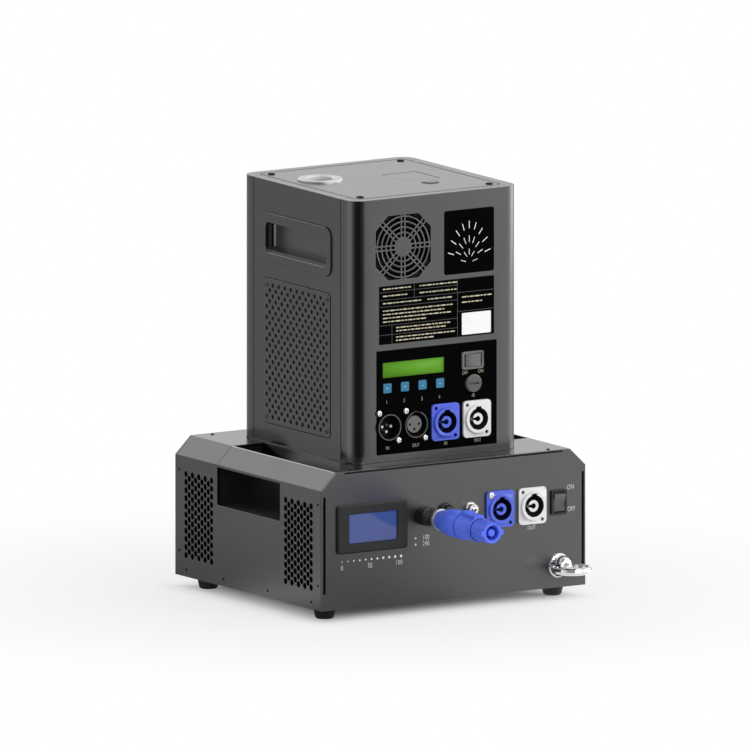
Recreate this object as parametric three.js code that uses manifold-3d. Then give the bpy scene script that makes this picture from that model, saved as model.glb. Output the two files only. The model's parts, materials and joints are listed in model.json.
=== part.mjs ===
// Cold spark machine: a square tower that stands on a wider battery base.
// Millimetres, +Z up, both connector panels towards -Y. The origin is on the ground under
// the middle of everything, so the machine stands behind it by half the length of the plug.

import * as THREE from 'three';
import { mergeVertices } from 'three/addons/utils/BufferGeometryUtils.js';
import Module from 'manifold-3d';

const wasm = await Module();
wasm.setup();

// Clearances, sheets and facets
const seatGap = 0.3;
const seamGap = 0.6;
const overrun = 2;
const sheet = 2;
const linerSheet = 1.5;
const fineSides = 24;
const roundSides = 20;
const smallSides = 14;
const tinySides = 8;
const cornerSteps = 2;
const tinyCornerSteps = 1;

// Base housing
const baseWidth = 260;
const baseDepth = 228;
const baseHeight = 116;
const footHeight = 10;
const chamferRun = 15;
const chamferDrop = 14.5;

// Carrying grips in the sides of the base
const gripLength = 98;
const gripFloorDrop = 48.5;
const gripOpeningDrop = 16.6;
const gripSlotOuterInset = 15.5;
const gripSlotInnerInset = 47;
const gripFloorDepth = 30.5;
const gripHemDepth = 7;

// Relief slits round the front and rear plates of the base
const topSlitInset = 23;
const topSlitHeight = 1;
const topSlitDrop = 1.5;
const sideSlitWidth = 2.4;
const sideSlitInset = 2.6;
const sideSlitRise = 14;
const sideSlitDrop = 20;

// Floor tray and feet
const trayFlange = 14;
const footTopRadius = 9.8;
const footBottomRadius = 7.9;
const footEdge = 1.2;
const footInsetX = 17.7;
const footInsetY = 23.7;
const footRecessRadius = 4;
const footRecessDepth = 5;

// Battery pack and inverter inside the base
const cellRadius = 9;
const cellHeight = 65;
const cellColumns = 7;
const cellRows = 5;
const packFromMiddleY = 52;
const inverterWidth = 140;
const inverterDepth = 66;
const inverterHeight = 62;
const inverterFromMiddleY = -44;
const finCount = 12;
const finHeight = 18;
const finShare = 0.4;

// Row of fittings across the front of the base. The length that they leave free is dealt out in shares:
// before the meter, gland, button, jack, inlet, outlet and switch, and after the switch
const baseRowGapShares = [14.45, 7.85, 6.3, 10.5, 9.5, 4.7, 5.3, 19.3];

// Meter on the base
const meterDrop = 48.4;
const meterWidth = 69.5;
const meterHeight = 41;
const meterProud = 2.8;
const meterCorner = 1.5;
const meterBevel = 1.2;
const meterWindowWidth = 47.3;
const meterWindowHeight = 25;
const meterWindowDepth = 1.8;
const meterBodyInset = 1.7;
const meterBodyDepth = 18;

// Flanged power sockets, two on the base and two on the tower
const flangeWidth = 27;
const flangeHeight = 31;
const flangeCorner = 3;
const flangeThickness = 2.2;
const flangeScrewPitchX = 19;
const flangeScrewPitchZ = 24;
const flangeScrewRadius = 1.7;
const socketRimRadius = 12;
const socketRimProud = 2.4;
const socketWellRadius = 9.3;
const socketWellDepth = 13;
const socketCoreRadius = 5;
const socketCoreBore = 2.3;
const socketCoreSink = 1.5;
const socketKeyWidth = 5;
const socketKeyDepth = 1.2;
const socketSlotWidth = 2.4;
const socketBodyRadius = 11.7;
const socketBodyLength = 24;
const baseSocketDrop = 44.5;

// Rocker switches, standing on the base and lying on the tower
const switchShort = 15;
const switchLong = 21;
const switchCorner = 1.5;
const switchProud = 2;
const switchRim = 2;
const switchBodyInset = 1.2;
const switchBodyDepth = 13;
const switchFloor = 2;
const rockerPivotDepth = 1.5;
const rockerEndLow = -0.35;
const rockerEndHigh = 0.6;
const rockerValley = 1.3;
const rockerThrow = 0.14;
const baseSwitchDrop = 44;

// Test button, charge jack
const testDrop = 42.6;
const testCollarRadius = 8;
const testCollarProud = 3.4;
const testCollarWall = 1.6;
const testNeckRadius = 7.3;
const testDepth = 10;
const testProud = 5.4;
const testStub = 5.7;
const testCrown = 0.8;
const jackDrop = 41.7;
const jackRadius = 4.4;
const jackProud = 6;
const jackFlangeRadius = 5.6;
const jackFlangeThickness = 1;
const jackBore = 2.8;
const jackBoreDepth = 8;
const jackPinRadius = 0.8;
const jackBodyLength = 14;

// Output gland, coupling ring and twist-lock plug, all on one axis out of the base
const plugDrop = 43.2;
const glandBaseRadius = 8.2;
const glandBaseLength = 11;
const glandNeckRadius = 6.65;
const glandNeckLength = 27;
const glandBore = 4.6;
const glandBoreDepth = 15;
const glandTailLength = 12;
const ringRadius = 9;
const ringFrom = 25.4;
const ringTo = 29;
const ringEdge = 0.7;
const plugReach = 108;
const plugTailRadius = 8;
const plugWaistRadius = 11.6;
const plugWaistFrom = 50;
const plugFirstStep = 64;
const plugBarrelRadius = 10.9;
const plugBarrelEndRadius = 10.2;
const plugSecondStep = 87.6;
const plugNoseRadius = 9.3;
const plugNoseEndRadius = 8.9;
const plugBoreRadius = 6.3;
const plugBoreDepth = 18;
const plugCoreRadius = 3.1;
const plugCoreSink = 1.4;
const plugSpigotRadius = 4.2;
const plugSpigotLength = 12;
const plugLugLength = 8;
const plugLugWidth = 4.5;
const plugLugRadius = 10.9;
const latchWidth = 9;
const latchFrom = 66;
const latchTo = 87;
const latchSeat = 8.9;
const latchLow = 11.8;
const latchHigh = 13.4;
const latchTravel = 2.5;

// Swivel eye on the base
const eyeFromSide = 26.1;
const eyeRise = 18.5;
const eyeFlangeRadius = 10.3;
const eyeFlangeThickness = 1.6;
const eyeStudRadius = 4;
const eyeStudLength = 12;
const eyeBallRadius = 6.4;
const eyeBallRise = 2.9;
const eyeBallOut = 6.5;
const eyePivotDrop = 0.9;
const eyePivotOut = 5.4;
const eyeCheekRadius = 7.3;
const eyeCheekHalf = 5.2;
const eyeRingRadius = 14.2;
const eyeWireRadius = 3.1;
const eyeMouthFlare = 0.6;
const eyeRingSides = 24;
const eyeWireSides = 8;

// Tower housing
const towerWidth = 164;
const towerDepth = 175;
const towerHeight = 222;
const towerCorner = 12;
const towerShadowGap = 0.8;
const towerSeamY = 67.7;
const towerRim = 8;
const towerLedge = 12;
const towerHem = 10;
const topPlateCorner = 4;

// Perforated vent plates on the tower's sides
const ventWidth = 103.2;
const ventFromTop = 82.5;
const ventFromBottom = 17.5;
const ventCorner = 3;
const ventThickness = 1.2;
const ventLap = 3;

// Recessed handles in the tower's sides
const cupWidth = 108.4;
const cupHeight = 41.6;
const cupCorner = 10;
const cupDrop = 47.7;
const cupLap = 3;
const pocketWidth = 98.4;
const pocketHeight = 24.8;
const pocketCorner = 6;
const pocketRise = 1.5;
const pocketDepth = 9;
const pocketLip = 3.8;
const pocketHook = 5.5;

// Fan and its punched grille in the front shell
const fanX = -33;
const fanDrop = 42;
const grilleHalf = 27.2;
const grilleChamfer = 12.2;
const grilleHubRadius = 8.4;
const grilleRingPitch = 4.53;
const grilleRings = 4;
const grilleWire = 1.2;
const grilleSpokeOffset = 1.75;
const grilleSpokes = 8;
const grilleSides = 24;
const fanSize = 60;
const fanDepth = 15;
const fanCorner = 5;
const fanBore = 28.4;
const fanStrut = 2.4;
const fanHubRadius = 12;
const fanBlades = 7;
const fanBladeTip = 27.6;
const fanBladeThickness = 1.2;
const fanBladeHeight = 9;
const fanBladeInnerTurn = 0.42;
const fanBladeOuterTurn = 0.3;
const fanBladeSteps = 3;

// Control panel of the tower
const panelWidth = 117.5;
const panelHeight = 87.6;
const panelMiddleRise = 49.9;
const panelThickness = 1;
const panelLap = 3;
const panelWindowRise = 51;
const displayX = -23.2;
const displayRise = 77.2;
const displayWidth = 60.2;
const displayHeight = 12.6;
const displayBoardWidth = 64;
const displayBoardHeight = 18;
const displayBoardDepth = 5;
const buttonCount = 4;
const buttonFirstX = -49.8;
const buttonPitch = 17.33;
const buttonRise = 62.2;
const buttonSize = 8;
const buttonCorner = 1;
const buttonProud = 1.2;
const buttonFlange = 9.8;
const buttonFlangeThickness = 1;
const buttonDepth = 5;
const towerSwitchX = 34.2;
const towerSwitchRise = 78.8;
const fuseX = 34.8;
const fuseRise = 59.3;
const fuseCapRadius = 7.6;
const fuseCapProud = 3.4;
const fuseCapEdge = 0.9;
const fuseNeckRadius = 5.5;
const fuseNeckLength = 16;
const fuseSlotWidth = 1.8;
const fuseSlotLength = 9;
const fuseSlotDepth = 1.4;
const towerSocketRise = 29.1;
const signalInX = -47.6;
const signalOutX = -21.3;
const towerInletX = 7.2;
const towerOutletX = 38.2;
const signalFlangeWidth = 25.4;
const signalFlangeThickness = 2;
const signalBodyRadius = 11.2;
const signalBodyLength = 24;
const signalRimProud = 1.8;
const signalRimWall = 0.9;
const signalWellDepth = 12;
const signalPinRadius = 1.2;
const signalPinCircle = 4.3;
const signalPinSink = 5.5;
const signalInsertRadius = 7.3;
const signalInsertSink = 3.6;
const signalContactRadius = 1.1;
const signalContactDepth = 5;
const signalLatchWidth = 7;
const signalLatchHeight = 2;

// Nozzle, heating chamber, hopper, feed screw
const nozzleFromSide = 37.7;
const nozzleY = 23.6;
const nozzleRadius = 19;
const nozzleProud = 1.6;
const nozzleEdge = 0.5;
const nozzleNeckRadius = 16;
const nozzleBore = 11.8;
const nozzleLead = 1.2;
const chamberFlangeRadius = 17.5;
const chamberRadius = 16;
const chamberWall = 3;
const chamberDepth = 98;
const chamberFloor = 3;
const chamberAirRadius = 6;
const chamberFlangeThickness = 2.5;
const hatchFromSide = 53;
const hatchY = -1.8;
const hatchWidth = 31.8;
const hatchDepth = 38;
const hatchCorner = 1.5;
const hatchHookBack = 8;
const hatchHookDrop = 5.2;
const hatchHookWidth = 12;
const hatchHookSheet = 1.4;
const hopperWall = 1.6;
const hopperMouthInset = 1;
const hopperNeckRadius = 9;
const feedDrop = 80;
const feedTubeRadius = 9;
const feedBoreRadius = 7.3;
const feedScrewRadius = 6.9;
const feedShaftRadius = 2.6;
const feedPitch = 12;
const feedFlightThickness = 1.4;
const feedFlightSteps = 7;
const feedTubeBack = 13;
const feedShaftTail = 8;
const motorRadius = 13;
const motorLength = 20;
const gearboxSize = 28;
const gearboxLength = 12;
const gearboxCorner = 4;
const knobAside = 1.1;
const knobAhead = 13.2;
const knobRadius = 7.5;
const knobThickness = 1.1;
const knobNeckRadius = 4.6;
const knobSlotWidth = 1.8;
const knobSlotDepth = 0.7;
const tongueLength = 15;
const tongueWidth = 7;
const tongueThickness = 1.8;
const tongueDrop = 3;

// Main board on the rear shell
const boardWidth = 118;
const boardHeight = 132;
const boardDrop = 124;
const boardThickness = 1.6;
const boardStandoff = 8;
const boardStandoffRadius = 3;
const boardStandoffInset = 6;
const chokeSize = 26;
const capacitorRadius = 9;
const capacitorHeight = 28;
const heatsinkWidth = 70;
const heatsinkThickness = 4;

// Levels and halves that follow from the sizes above
const baseHalfWidth = baseWidth / 2;
const baseHalfDepth = baseDepth / 2;
const baseBottom = footHeight;
const baseTop = footHeight + baseHeight;
const towerBottom = baseTop + seatGap;
const towerTop = baseTop + towerHeight;
const towerHalfWidth = towerWidth / 2;
const towerHalfDepth = towerDepth / 2;
const shellBottom = baseTop + towerShadowGap;
const gripSlotOuterX = baseHalfWidth - gripSlotOuterInset;
const gripSlotInnerX = baseHalfWidth - gripSlotInnerInset;
const rightAngle = Math.PI / 2;
const fullTurn = Math.PI * 2;

// Centres of fittings in a row, with the free length dealt out between them in shares
function rowPlaces(length, widths, gapShares) {
  const total = (values) => values.reduce((sum, value) => sum + value, 0);
  const gapUnit = (length - total(widths)) / total(gapShares);
  let end = -length / 2;
  return widths.map((width, i) => {
    end += gapShares[i] * gapUnit + width;
    return end - width / 2;
  });
}

// Places that follow from the sizes above
const [meterX, plugX, testX, jackX, baseInletX, baseOutletX, baseSwitchX] = rowPlaces(
  baseWidth,
  [
    meterWidth, 2 * glandBaseRadius, 2 * testCollarRadius, 2 * jackFlangeRadius,
    flangeWidth, flangeWidth, switchShort,
  ],
  baseRowGapShares,
);
const eyeX = baseHalfWidth - eyeFromSide;
const gripFloorZ = baseTop - gripFloorDrop;
const gripOpeningTopZ = baseTop - gripOpeningDrop;
const sideSlitBottomZ = baseBottom + sideSlitRise;
const sideSlitTopZ = baseTop - sideSlitDrop;
const meterZ = baseTop - meterDrop;
const baseSocketZ = baseTop - baseSocketDrop;
const baseSwitchZ = baseTop - baseSwitchDrop;
const testZ = baseTop - testDrop;
const jackZ = baseTop - jackDrop;
const plugZ = baseTop - plugDrop;
const eyeZ = baseBottom + eyeRise;
const nozzleX = nozzleFromSide - towerHalfWidth;
const hatchX = towerHalfWidth - hatchFromSide;
const knobX = hatchX - knobAside;
const knobY = hatchY - hatchDepth / 2 - knobAhead;
const cupMiddleZ = towerTop - cupDrop;
const fanZ = towerTop - fanDrop;
const panelMiddleZ = baseTop + panelMiddleRise;
const panelWindowBottomZ = baseTop + panelWindowRise;
const displayZ = baseTop + displayRise;
const buttonZ = baseTop + buttonRise;
const towerSwitchZ = baseTop + towerSwitchRise;
const fuseZ = baseTop + fuseRise;
const towerSocketZ = baseTop + towerSocketRise;
const chamberBottomZ = towerTop - chamberDepth;
const feedZ = towerTop - feedDrop;
const boardMiddleZ = towerTop - boardDrop;
const ventHeight = towerHeight - ventFromTop - ventFromBottom;
const ventMiddleZ = baseTop + ventFromBottom + ventHeight / 2;

// Solids: every piece is a closed three.js geometry, joined and cut as a solid

function asSolid(geometry) {
  const bare = geometry.clone();
  bare.deleteAttribute('normal');
  bare.deleteAttribute('uv');
  const welded = mergeVertices(bare);
  const points = welded.attributes.position;
  const corners = [new THREE.Vector3(), new THREE.Vector3(), new THREE.Vector3()];
  const triangles = [];
  let volume = 0;
  for (let i = 0; i < welded.index.count; i += 3) {
    const ids = [0, 1, 2].map((k) => welded.index.getX(i + k));
    if (ids[0] === ids[1] || ids[1] === ids[2] || ids[2] === ids[0]) continue;
    ids.forEach((id, k) => corners[k].fromBufferAttribute(points, id));
    volume += corners[0].dot(corners[1].clone().cross(corners[2]));
    triangles.push(ids);
  }
  const outward = volume > 0 ? triangles : triangles.map(([a, b, c]) => [a, c, b]);
  return new wasm.Manifold(new wasm.Mesh({
    numProp: 3,
    vertProperties: Float32Array.from(points.array),
    triVerts: Uint32Array.from(outward.flat()),
  }));
}

function asGeometry(solid) {
  const mesh = solid.getMesh();
  const geometry = new THREE.BufferGeometry();
  geometry.setAttribute('position', new THREE.BufferAttribute(mesh.vertProperties, 3));
  geometry.setIndex(new THREE.BufferAttribute(mesh.triVerts, 1));
  geometry.computeVertexNormals();
  return geometry;
}

function join(...geometries) {
  return asGeometry(geometries.map(asSolid).reduce((sum, next) => sum.add(next)));
}

function cut(body, ...tools) {
  return asGeometry(tools.map(asSolid).reduce((rest, tool) => rest.subtract(tool), asSolid(body)));
}

function common(one, other) {
  return asGeometry(asSolid(one).intersect(asSolid(other)));
}

// Outlines

function roundedRect(width, height, radius, x = 0, y = 0) {
  const shape = new THREE.Shape();
  const right = width / 2 - radius;
  const top = height / 2 - radius;
  shape.absarc(x + right, y + top, radius, 0, rightAngle, false);
  shape.absarc(x - right, y + top, radius, rightAngle, 2 * rightAngle, false);
  shape.absarc(x - right, y - top, radius, 2 * rightAngle, 3 * rightAngle, false);
  shape.absarc(x + right, y - top, radius, 3 * rightAngle, fullTurn, false);
  shape.closePath();
  return shape;
}

function polygon(points) {
  return new THREE.Shape(points.map(([x, y]) => new THREE.Vector2(x, y)));
}

// Blocks along the local z axis

function slab(shape, from, to, curveSegments = cornerSteps) {
  const options = { depth: to - from, bevelEnabled: false, curveSegments };
  return new THREE.ExtrudeGeometry(shape, options).translate(0, 0, from);
}

function block(x0, x1, y0, y1, z0, z1) {
  const geometry = new THREE.BoxGeometry(x1 - x0, y1 - y0, z1 - z0);
  return geometry.translate((x0 + x1) / 2, (y0 + y1) / 2, (z0 + z1) / 2);
}

function drum(radius, from, to, x = 0, y = 0, sides = roundSides) {
  const geometry = new THREE.CylinderGeometry(radius, radius, to - from, sides);
  return geometry.rotateX(rightAngle).translate(x, y, (from + to) / 2);
}

function turned(profile, sides = roundSides) {
  const points = [...profile, profile[0]].map(([r, z]) => new THREE.Vector2(r, z));
  return new THREE.LatheGeometry(points, sides).rotateX(rightAngle);
}

// Rings of points stitched one after the other; the last ring meets the first again
function loft(rings) {
  const count = rings[0].length;
  const positions = rings.flat().flatMap((p) => [p.x, p.y, p.z]);
  const index = [];
  for (let r = 0; r < rings.length; r += 1) {
    const here = r * count;
    const next = ((r + 1) % rings.length) * count;
    for (let i = 0; i < count; i += 1) {
      const j = (i + 1) % count;
      index.push(here + i, here + j, next + j, here + i, next + j, next + i);
    }
  }
  const geometry = new THREE.BufferGeometry();
  geometry.setAttribute('position', new THREE.Float32BufferAttribute(positions, 3));
  geometry.setIndex(index);
  return geometry;
}

// Materials

const colours = {
  paint: [0x3b3c3e, 0.45, 0.55],
  blackPanel: [0x101112, 0.5, 0],
  rubber: [0x141414, 0.9, 0],
  blackPlastic: [0x18191a, 0.55, 0],
  greyPlastic: [0x6a6c6e, 0.5, 0],
  bluePlastic: [0x4a5fd2, 0.45, 0],
  whitePlastic: [0xdcdddc, 0.45, 0],
  keyBlue: [0x3f8fc0, 0.4, 0],
  screenGreen: [0x62a030, 0.3, 0],
  screenBlue: [0x5e78b4, 0.25, 0],
  chrome: [0xd8dadc, 0.15, 1],
  steel: [0x9a9c9e, 0.35, 1],
  aluminium: [0xb4b6b8, 0.4, 1],
  boardGreen: [0x24523a, 0.6, 0],
  packBlue: [0x2c4c8c, 0.4, 0],
};

function piece(parent, name, geometry, colourName) {
  const [color, roughness, metalness] = colours[colourName];
  const material = new THREE.MeshStandardMaterial({ color, roughness, metalness });
  const mesh = new THREE.Mesh(geometry, material);
  mesh.name = name;
  parent.add(mesh);
  return mesh;
}

// A frame on one outer face: x to the viewer's right, y up from the ground, z out of the face
function faceFrame(parent, turn, distance) {
  const frame = new THREE.Group();
  frame.rotation.set(rightAngle, 0, turn, 'ZYX');
  frame.position.set(Math.sin(turn) * distance, -Math.cos(turn) * distance, 0);
  parent.add(frame);
  return frame;
}

const machine = new THREE.Group();
machine.position.y = plugReach / 2;
const base = new THREE.Group();
const tower = new THREE.Group();
machine.add(base, tower);

const baseSection = faceFrame(base, 0, 0);
const baseFront = faceFrame(base, 0, baseHalfDepth);
const baseRear = faceFrame(base, Math.PI, baseHalfDepth);
const towerFront = faceFrame(tower, 0, towerHalfDepth);
const towerRear = faceFrame(tower, Math.PI, towerHalfDepth);
const towerLeft = faceFrame(tower, -rightAngle, towerHalfWidth);
const towerRight = faceFrame(tower, rightAngle, towerHalfWidth);

// Base cover: one sheet bent over the top, with a chamfer along each side

// Section of the base, drawn in by an inset that stays square to every side
function baseOutline(inset) {
  const sideTurn = Math.atan2(chamferRun, chamferDrop);
  const topTurn = Math.atan2(chamferDrop, chamferRun);
  const sideX = baseHalfWidth - inset;
  const shoulderZ = baseTop - chamferDrop - inset * Math.tan(sideTurn / 2);
  const brimX = baseHalfWidth - chamferRun - inset * Math.tan(topTurn / 2);
  const top = baseTop - inset;
  return [
    [sideX, baseBottom], [sideX, shoulderZ], [brimX, top],
    [-brimX, top], [-sideX, shoulderZ], [-sideX, baseBottom],
  ];
}

const coverHalfLength = baseHalfDepth - sheet - seatGap;
const gripHalf = gripLength / 2;

function makeBaseCover() {
  const section = polygon([...baseOutline(0), ...baseOutline(sheet).reverse()]);
  let cover = slab(section, -coverHalfLength, coverHalfLength);
  for (const side of [-1, 1]) {
    const mirrored = (a, b, ...rest) => block(Math.min(side * a, side * b), Math.max(side * a, side * b), ...rest);
    const sideOpening = mirrored(
      baseHalfWidth + overrun, baseHalfWidth - gripHemDepth,
      gripFloorZ, gripOpeningTopZ, -gripHalf, gripHalf,
    );
    const topSlot = mirrored(
      gripSlotInnerX, gripSlotOuterX,
      baseTop - sheet - overrun, baseTop + overrun, -gripHalf, gripHalf,
    );
    // The strip left between the two openings is hemmed along both edges to make the grip
    const upperHem = mirrored(
      gripSlotOuterX, gripSlotOuterX + sheet,
      baseTop - gripHemDepth, baseTop - sheet, -gripHalf, gripHalf,
    );
    const lowerHem = mirrored(
      baseHalfWidth - gripHemDepth, baseHalfWidth - sheet / 2,
      gripOpeningTopZ, gripOpeningTopZ + sheet, -gripHalf, gripHalf,
    );
    cover = join(cut(cover, sideOpening, topSlot), upperHem, lowerHem);
  }
  piece(baseSection, 'base_cover', cover, 'paint');
}

// Grip pocket behind each opening: floor, sloping back wall and two end walls
function makeGripPocket(side, name) {
  const floorX = baseHalfWidth - gripFloorDepth;
  const lidZ = baseTop - sheet - seatGap;
  const hollow = polygon([
    [baseHalfWidth + overrun, gripFloorZ], [floorX, gripFloorZ],
    [gripSlotInnerX, lidZ], [gripSlotInnerX, lidZ + overrun], [baseHalfWidth + overrun, lidZ + overrun],
  ]);
  const rise = lidZ - gripFloorZ;
  const lean = floorX - gripSlotInnerX;
  const wall = linerSheet * Math.hypot(rise, lean) / rise;
  const shell = polygon([
    [baseHalfWidth, gripFloorZ - linerSheet], [floorX - wall, gripFloorZ - linerSheet],
    [gripSlotInnerX - wall, lidZ], [baseHalfWidth, lidZ],
  ]);
  const hollowHalf = gripHalf + seatGap;
  const room = slab(polygon(baseOutline(sheet + seatGap)), -coverHalfLength, coverHalfLength);
  const outer = slab(shell, -hollowHalf - linerSheet, hollowHalf + linerSheet);
  const inner = slab(hollow, -hollowHalf, hollowHalf);
  const pocket = cut(common(outer, room), inner);
  pocket.scale(side, 1, 1);
  piece(baseSection, name, side > 0 ? pocket : asGeometry(asSolid(pocket)), 'blackPlastic');
}

function reliefSlits() {
  const slitX = baseHalfWidth - sideSlitInset;
  const topZ = baseTop - topSlitDrop;
  const halfTop = baseHalfWidth - topSlitInset;
  const slits = [-slitX, slitX].map((x) => block(
    x - sideSlitWidth / 2, x + sideSlitWidth / 2, sideSlitBottomZ, sideSlitTopZ,
    -sheet - overrun, overrun,
  ));
  slits.push(block(-halfTop, halfTop, topZ - topSlitHeight / 2, topZ + topSlitHeight / 2, -sheet - overrun, overrun));
  return slits;
}

// A hole's flats stay a clearance away from the round piece that goes through it
function throughHole(radius, x, y, sides = smallSides) {
  const reach = (radius + seatGap) / Math.cos(Math.PI / sides);
  return drum(reach, -sheet - overrun, overrun, x, y, sides);
}

function throughWindow(width, height, radius, x, y, curveSegments = tinyCornerSteps) {
  const shape = roundedRect(width + 2 * seatGap, height + 2 * seatGap, radius, x, y);
  return slab(shape, -sheet - overrun, overrun, curveSegments);
}

function makeBasePlates() {
  const blank = slab(polygon(baseOutline(0)), -sheet, 0);
  const switchBody = switchBodySize();
  const front = cut(
    blank, ...reliefSlits(),
    throughWindow(meterWidth - 2 * meterBodyInset, meterHeight - 2 * meterBodyInset, meterCorner, meterX, meterZ),
    throughWindow(switchBody.short, switchBody.long, switchCorner, baseSwitchX, baseSwitchZ),
    throughHole(socketBodyRadius, baseInletX, baseSocketZ),
    throughHole(socketBodyRadius, baseOutletX, baseSocketZ),
    throughHole(testNeckRadius, testX, testZ),
    throughHole(jackRadius, jackX, jackZ),
    throughHole(glandNeckRadius, plugX, plugZ),
    throughHole(eyeStudRadius, eyeX, eyeZ),
  );
  piece(baseFront, 'base_front_panel', front, 'paint');
  piece(baseRear, 'base_rear_panel', cut(blank, ...reliefSlits()), 'paint');
}

function makeFloorTray() {
  const halfX = baseHalfWidth - sheet - seatGap;
  const halfY = baseHalfDepth - sheet - seatGap;
  const outer = block(-halfX, halfX, -halfY, halfY, baseBottom, baseBottom + trayFlange);
  const inner = block(
    -halfX + sheet, halfX - sheet, -halfY + sheet, halfY - sheet,
    baseBottom + sheet, baseBottom + trayFlange + overrun,
  );
  piece(base, 'base_floor', cut(outer, inner), 'paint');
}

// Tapered rubber foot with a sunk screw hole below
function makeFeet() {
  const profile = [
    [0, footRecessDepth], [footRecessRadius, footRecessDepth], [footRecessRadius, 0],
    [footBottomRadius - footEdge, 0], [footBottomRadius, footEdge],
    [footTopRadius, footHeight], [0, footHeight],
  ];
  const x = baseHalfWidth - footInsetX;
  const y = baseHalfDepth - footInsetY;
  const places = [
    ['foot_front_left', -x, -y], ['foot_front_right', x, -y],
    ['foot_rear_left', -x, y], ['foot_rear_right', x, y],
  ];
  for (const [name, footX, footY] of places) {
    piece(base, name, turned(profile, smallSides), 'rubber').position.set(footX, footY, 0);
  }
}

// Battery pack: upright round cells side by side; the outline runs round the outer ones
function makeBatteryPack() {
  const shape = new THREE.Shape();
  const pitch = 2 * cellRadius;
  const right = (cellColumns - 1) * cellRadius;
  const back = (cellRows - 1) * cellRadius;
  const sides = [
    { x: right, y: -back, stepX: 0, stepY: pitch, cells: cellRows },
    { x: right, y: back, stepX: -pitch, stepY: 0, cells: cellColumns },
    { x: -right, y: back, stepX: 0, stepY: -pitch, cells: cellRows },
    { x: -right, y: -back, stepX: pitch, stepY: 0, cells: cellColumns },
  ];
  sides.forEach(({ x, y, stepX, stepY, cells }, turn) => {
    const start = Math.PI + turn * rightAngle;
    shape.absarc(x, y, cellRadius, start, start + 3 * rightAngle, false);
    for (let i = 1; i < cells - 1; i += 1) {
      shape.absarc(x + i * stepX, y + i * stepY, cellRadius, start + rightAngle, start + 3 * rightAngle, false);
    }
  });
  shape.closePath();
  const bottom = baseBottom + sheet;
  const pack = slab(shape, bottom, bottom + cellHeight);
  piece(base, 'battery_pack', pack, 'packBlue').position.y = packFromMiddleY;
}

// Inverter: a housing whose lid is a row of cooling fins
function makeInverter() {
  const half = inverterWidth / 2;
  const bottom = baseBottom + sheet;
  const finPitch = inverterWidth / finCount;
  const finWidth = finPitch * finShare;
  const valley = bottom + inverterHeight - finHeight;
  const outline = [[half, bottom], [-half, bottom]];
  for (let i = 0; i < finCount; i += 1) {
    const left = -half + i * finPitch;
    const right = left + finWidth;
    outline.push([left, bottom + inverterHeight], [right, bottom + inverterHeight], [right, valley]);
    outline.push([i === finCount - 1 ? half : left + finPitch, valley]);
  }
  const housing = slab(polygon(outline), -inverterDepth / 2, inverterDepth / 2);
  piece(baseSection, 'inverter_unit', housing, 'aluminium').position.z = -inverterFromMiddleY;
}

// Meter: a bevelled bezel round a sunk window, on a body that passes through the front plate
function makeMeter() {
  const bevelled = new THREE.ExtrudeGeometry(
    roundedRect(meterWidth - 2 * meterBevel, meterHeight - 2 * meterBevel, meterCorner),
    {
      depth: meterProud - meterBevel, bevelThickness: meterBevel, bevelSize: meterBevel,
      bevelSegments: 1, curveSegments: cornerSteps,
    },
  );
  const bodyShape = roundedRect(meterWidth - 2 * meterBodyInset, meterHeight - 2 * meterBodyInset, meterCorner);
  const body = slab(bodyShape, -meterBodyDepth, meterProud / 2, tinyCornerSteps);
  const front = block(-meterWidth, meterWidth, -meterHeight, meterHeight, 0, meterProud + overrun);
  const windowShape = roundedRect(meterWindowWidth, meterWindowHeight, meterCorner);
  const sunk = slab(windowShape, meterProud - meterWindowDepth, meterProud + overrun);
  const bezel = cut(join(common(bevelled, front), body), sunk);
  piece(baseFront, 'meter_bezel', bezel, 'blackPlastic').position.set(meterX, meterZ, 0);
  const glassShape = roundedRect(meterWindowWidth - 2 * seatGap, meterWindowHeight - 2 * seatGap, meterCorner);
  const glass = slab(glassShape, meterProud - meterWindowDepth, meterProud - meterWindowDepth / 2);
  piece(baseFront, 'meter_screen', glass, 'screenBlue').position.set(meterX, meterZ, 0);
}

// Flange with its two diagonal screw holes
function socketFlange(thickness) {
  const plate = slab(roundedRect(flangeWidth, flangeHeight, flangeCorner), 0, thickness, tinyCornerSteps);
  const holes = [-1, 1].map((side) => drum(
    flangeScrewRadius, -overrun, thickness + overrun,
    side * flangeScrewPitchX / 2, -side * flangeScrewPitchZ / 2, tinySides,
  ));
  return cut(plate, ...holes);
}

// Twist-lock power socket: a raised rim, a keyed well, and a slotted core standing in it
function powerSocket() {
  const rimTop = flangeThickness + socketRimProud;
  const wellBottom = rimTop - socketWellDepth;
  const coreTop = rimTop - socketCoreSink;
  const rim = drum(socketRimRadius, flangeThickness / 2, rimTop);
  const body = drum(socketBodyRadius, -socketBodyLength, flangeThickness / 2, 0, 0, smallSides);
  const well = turned([
    [0, wellBottom + overrun], [socketCoreBore, wellBottom + overrun], [socketCoreBore, coreTop],
    [socketCoreRadius, coreTop], [socketCoreRadius, wellBottom], [socketWellRadius, wellBottom],
    [socketWellRadius, rimTop + overrun], [0, rimTop + overrun],
  ]);
  const keyTop = socketWellRadius + socketKeyDepth;
  const key = block(-socketKeyWidth / 2, socketKeyWidth / 2, socketCoreRadius, keyTop, wellBottom, rimTop + overrun);
  const slot = block(
    -socketCoreRadius - seatGap, 0, -socketSlotWidth / 2, socketSlotWidth / 2,
    wellBottom + overrun, coreTop + overrun,
  );
  return cut(join(socketFlange(flangeThickness), rim, body), well, key, slot);
}

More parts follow.
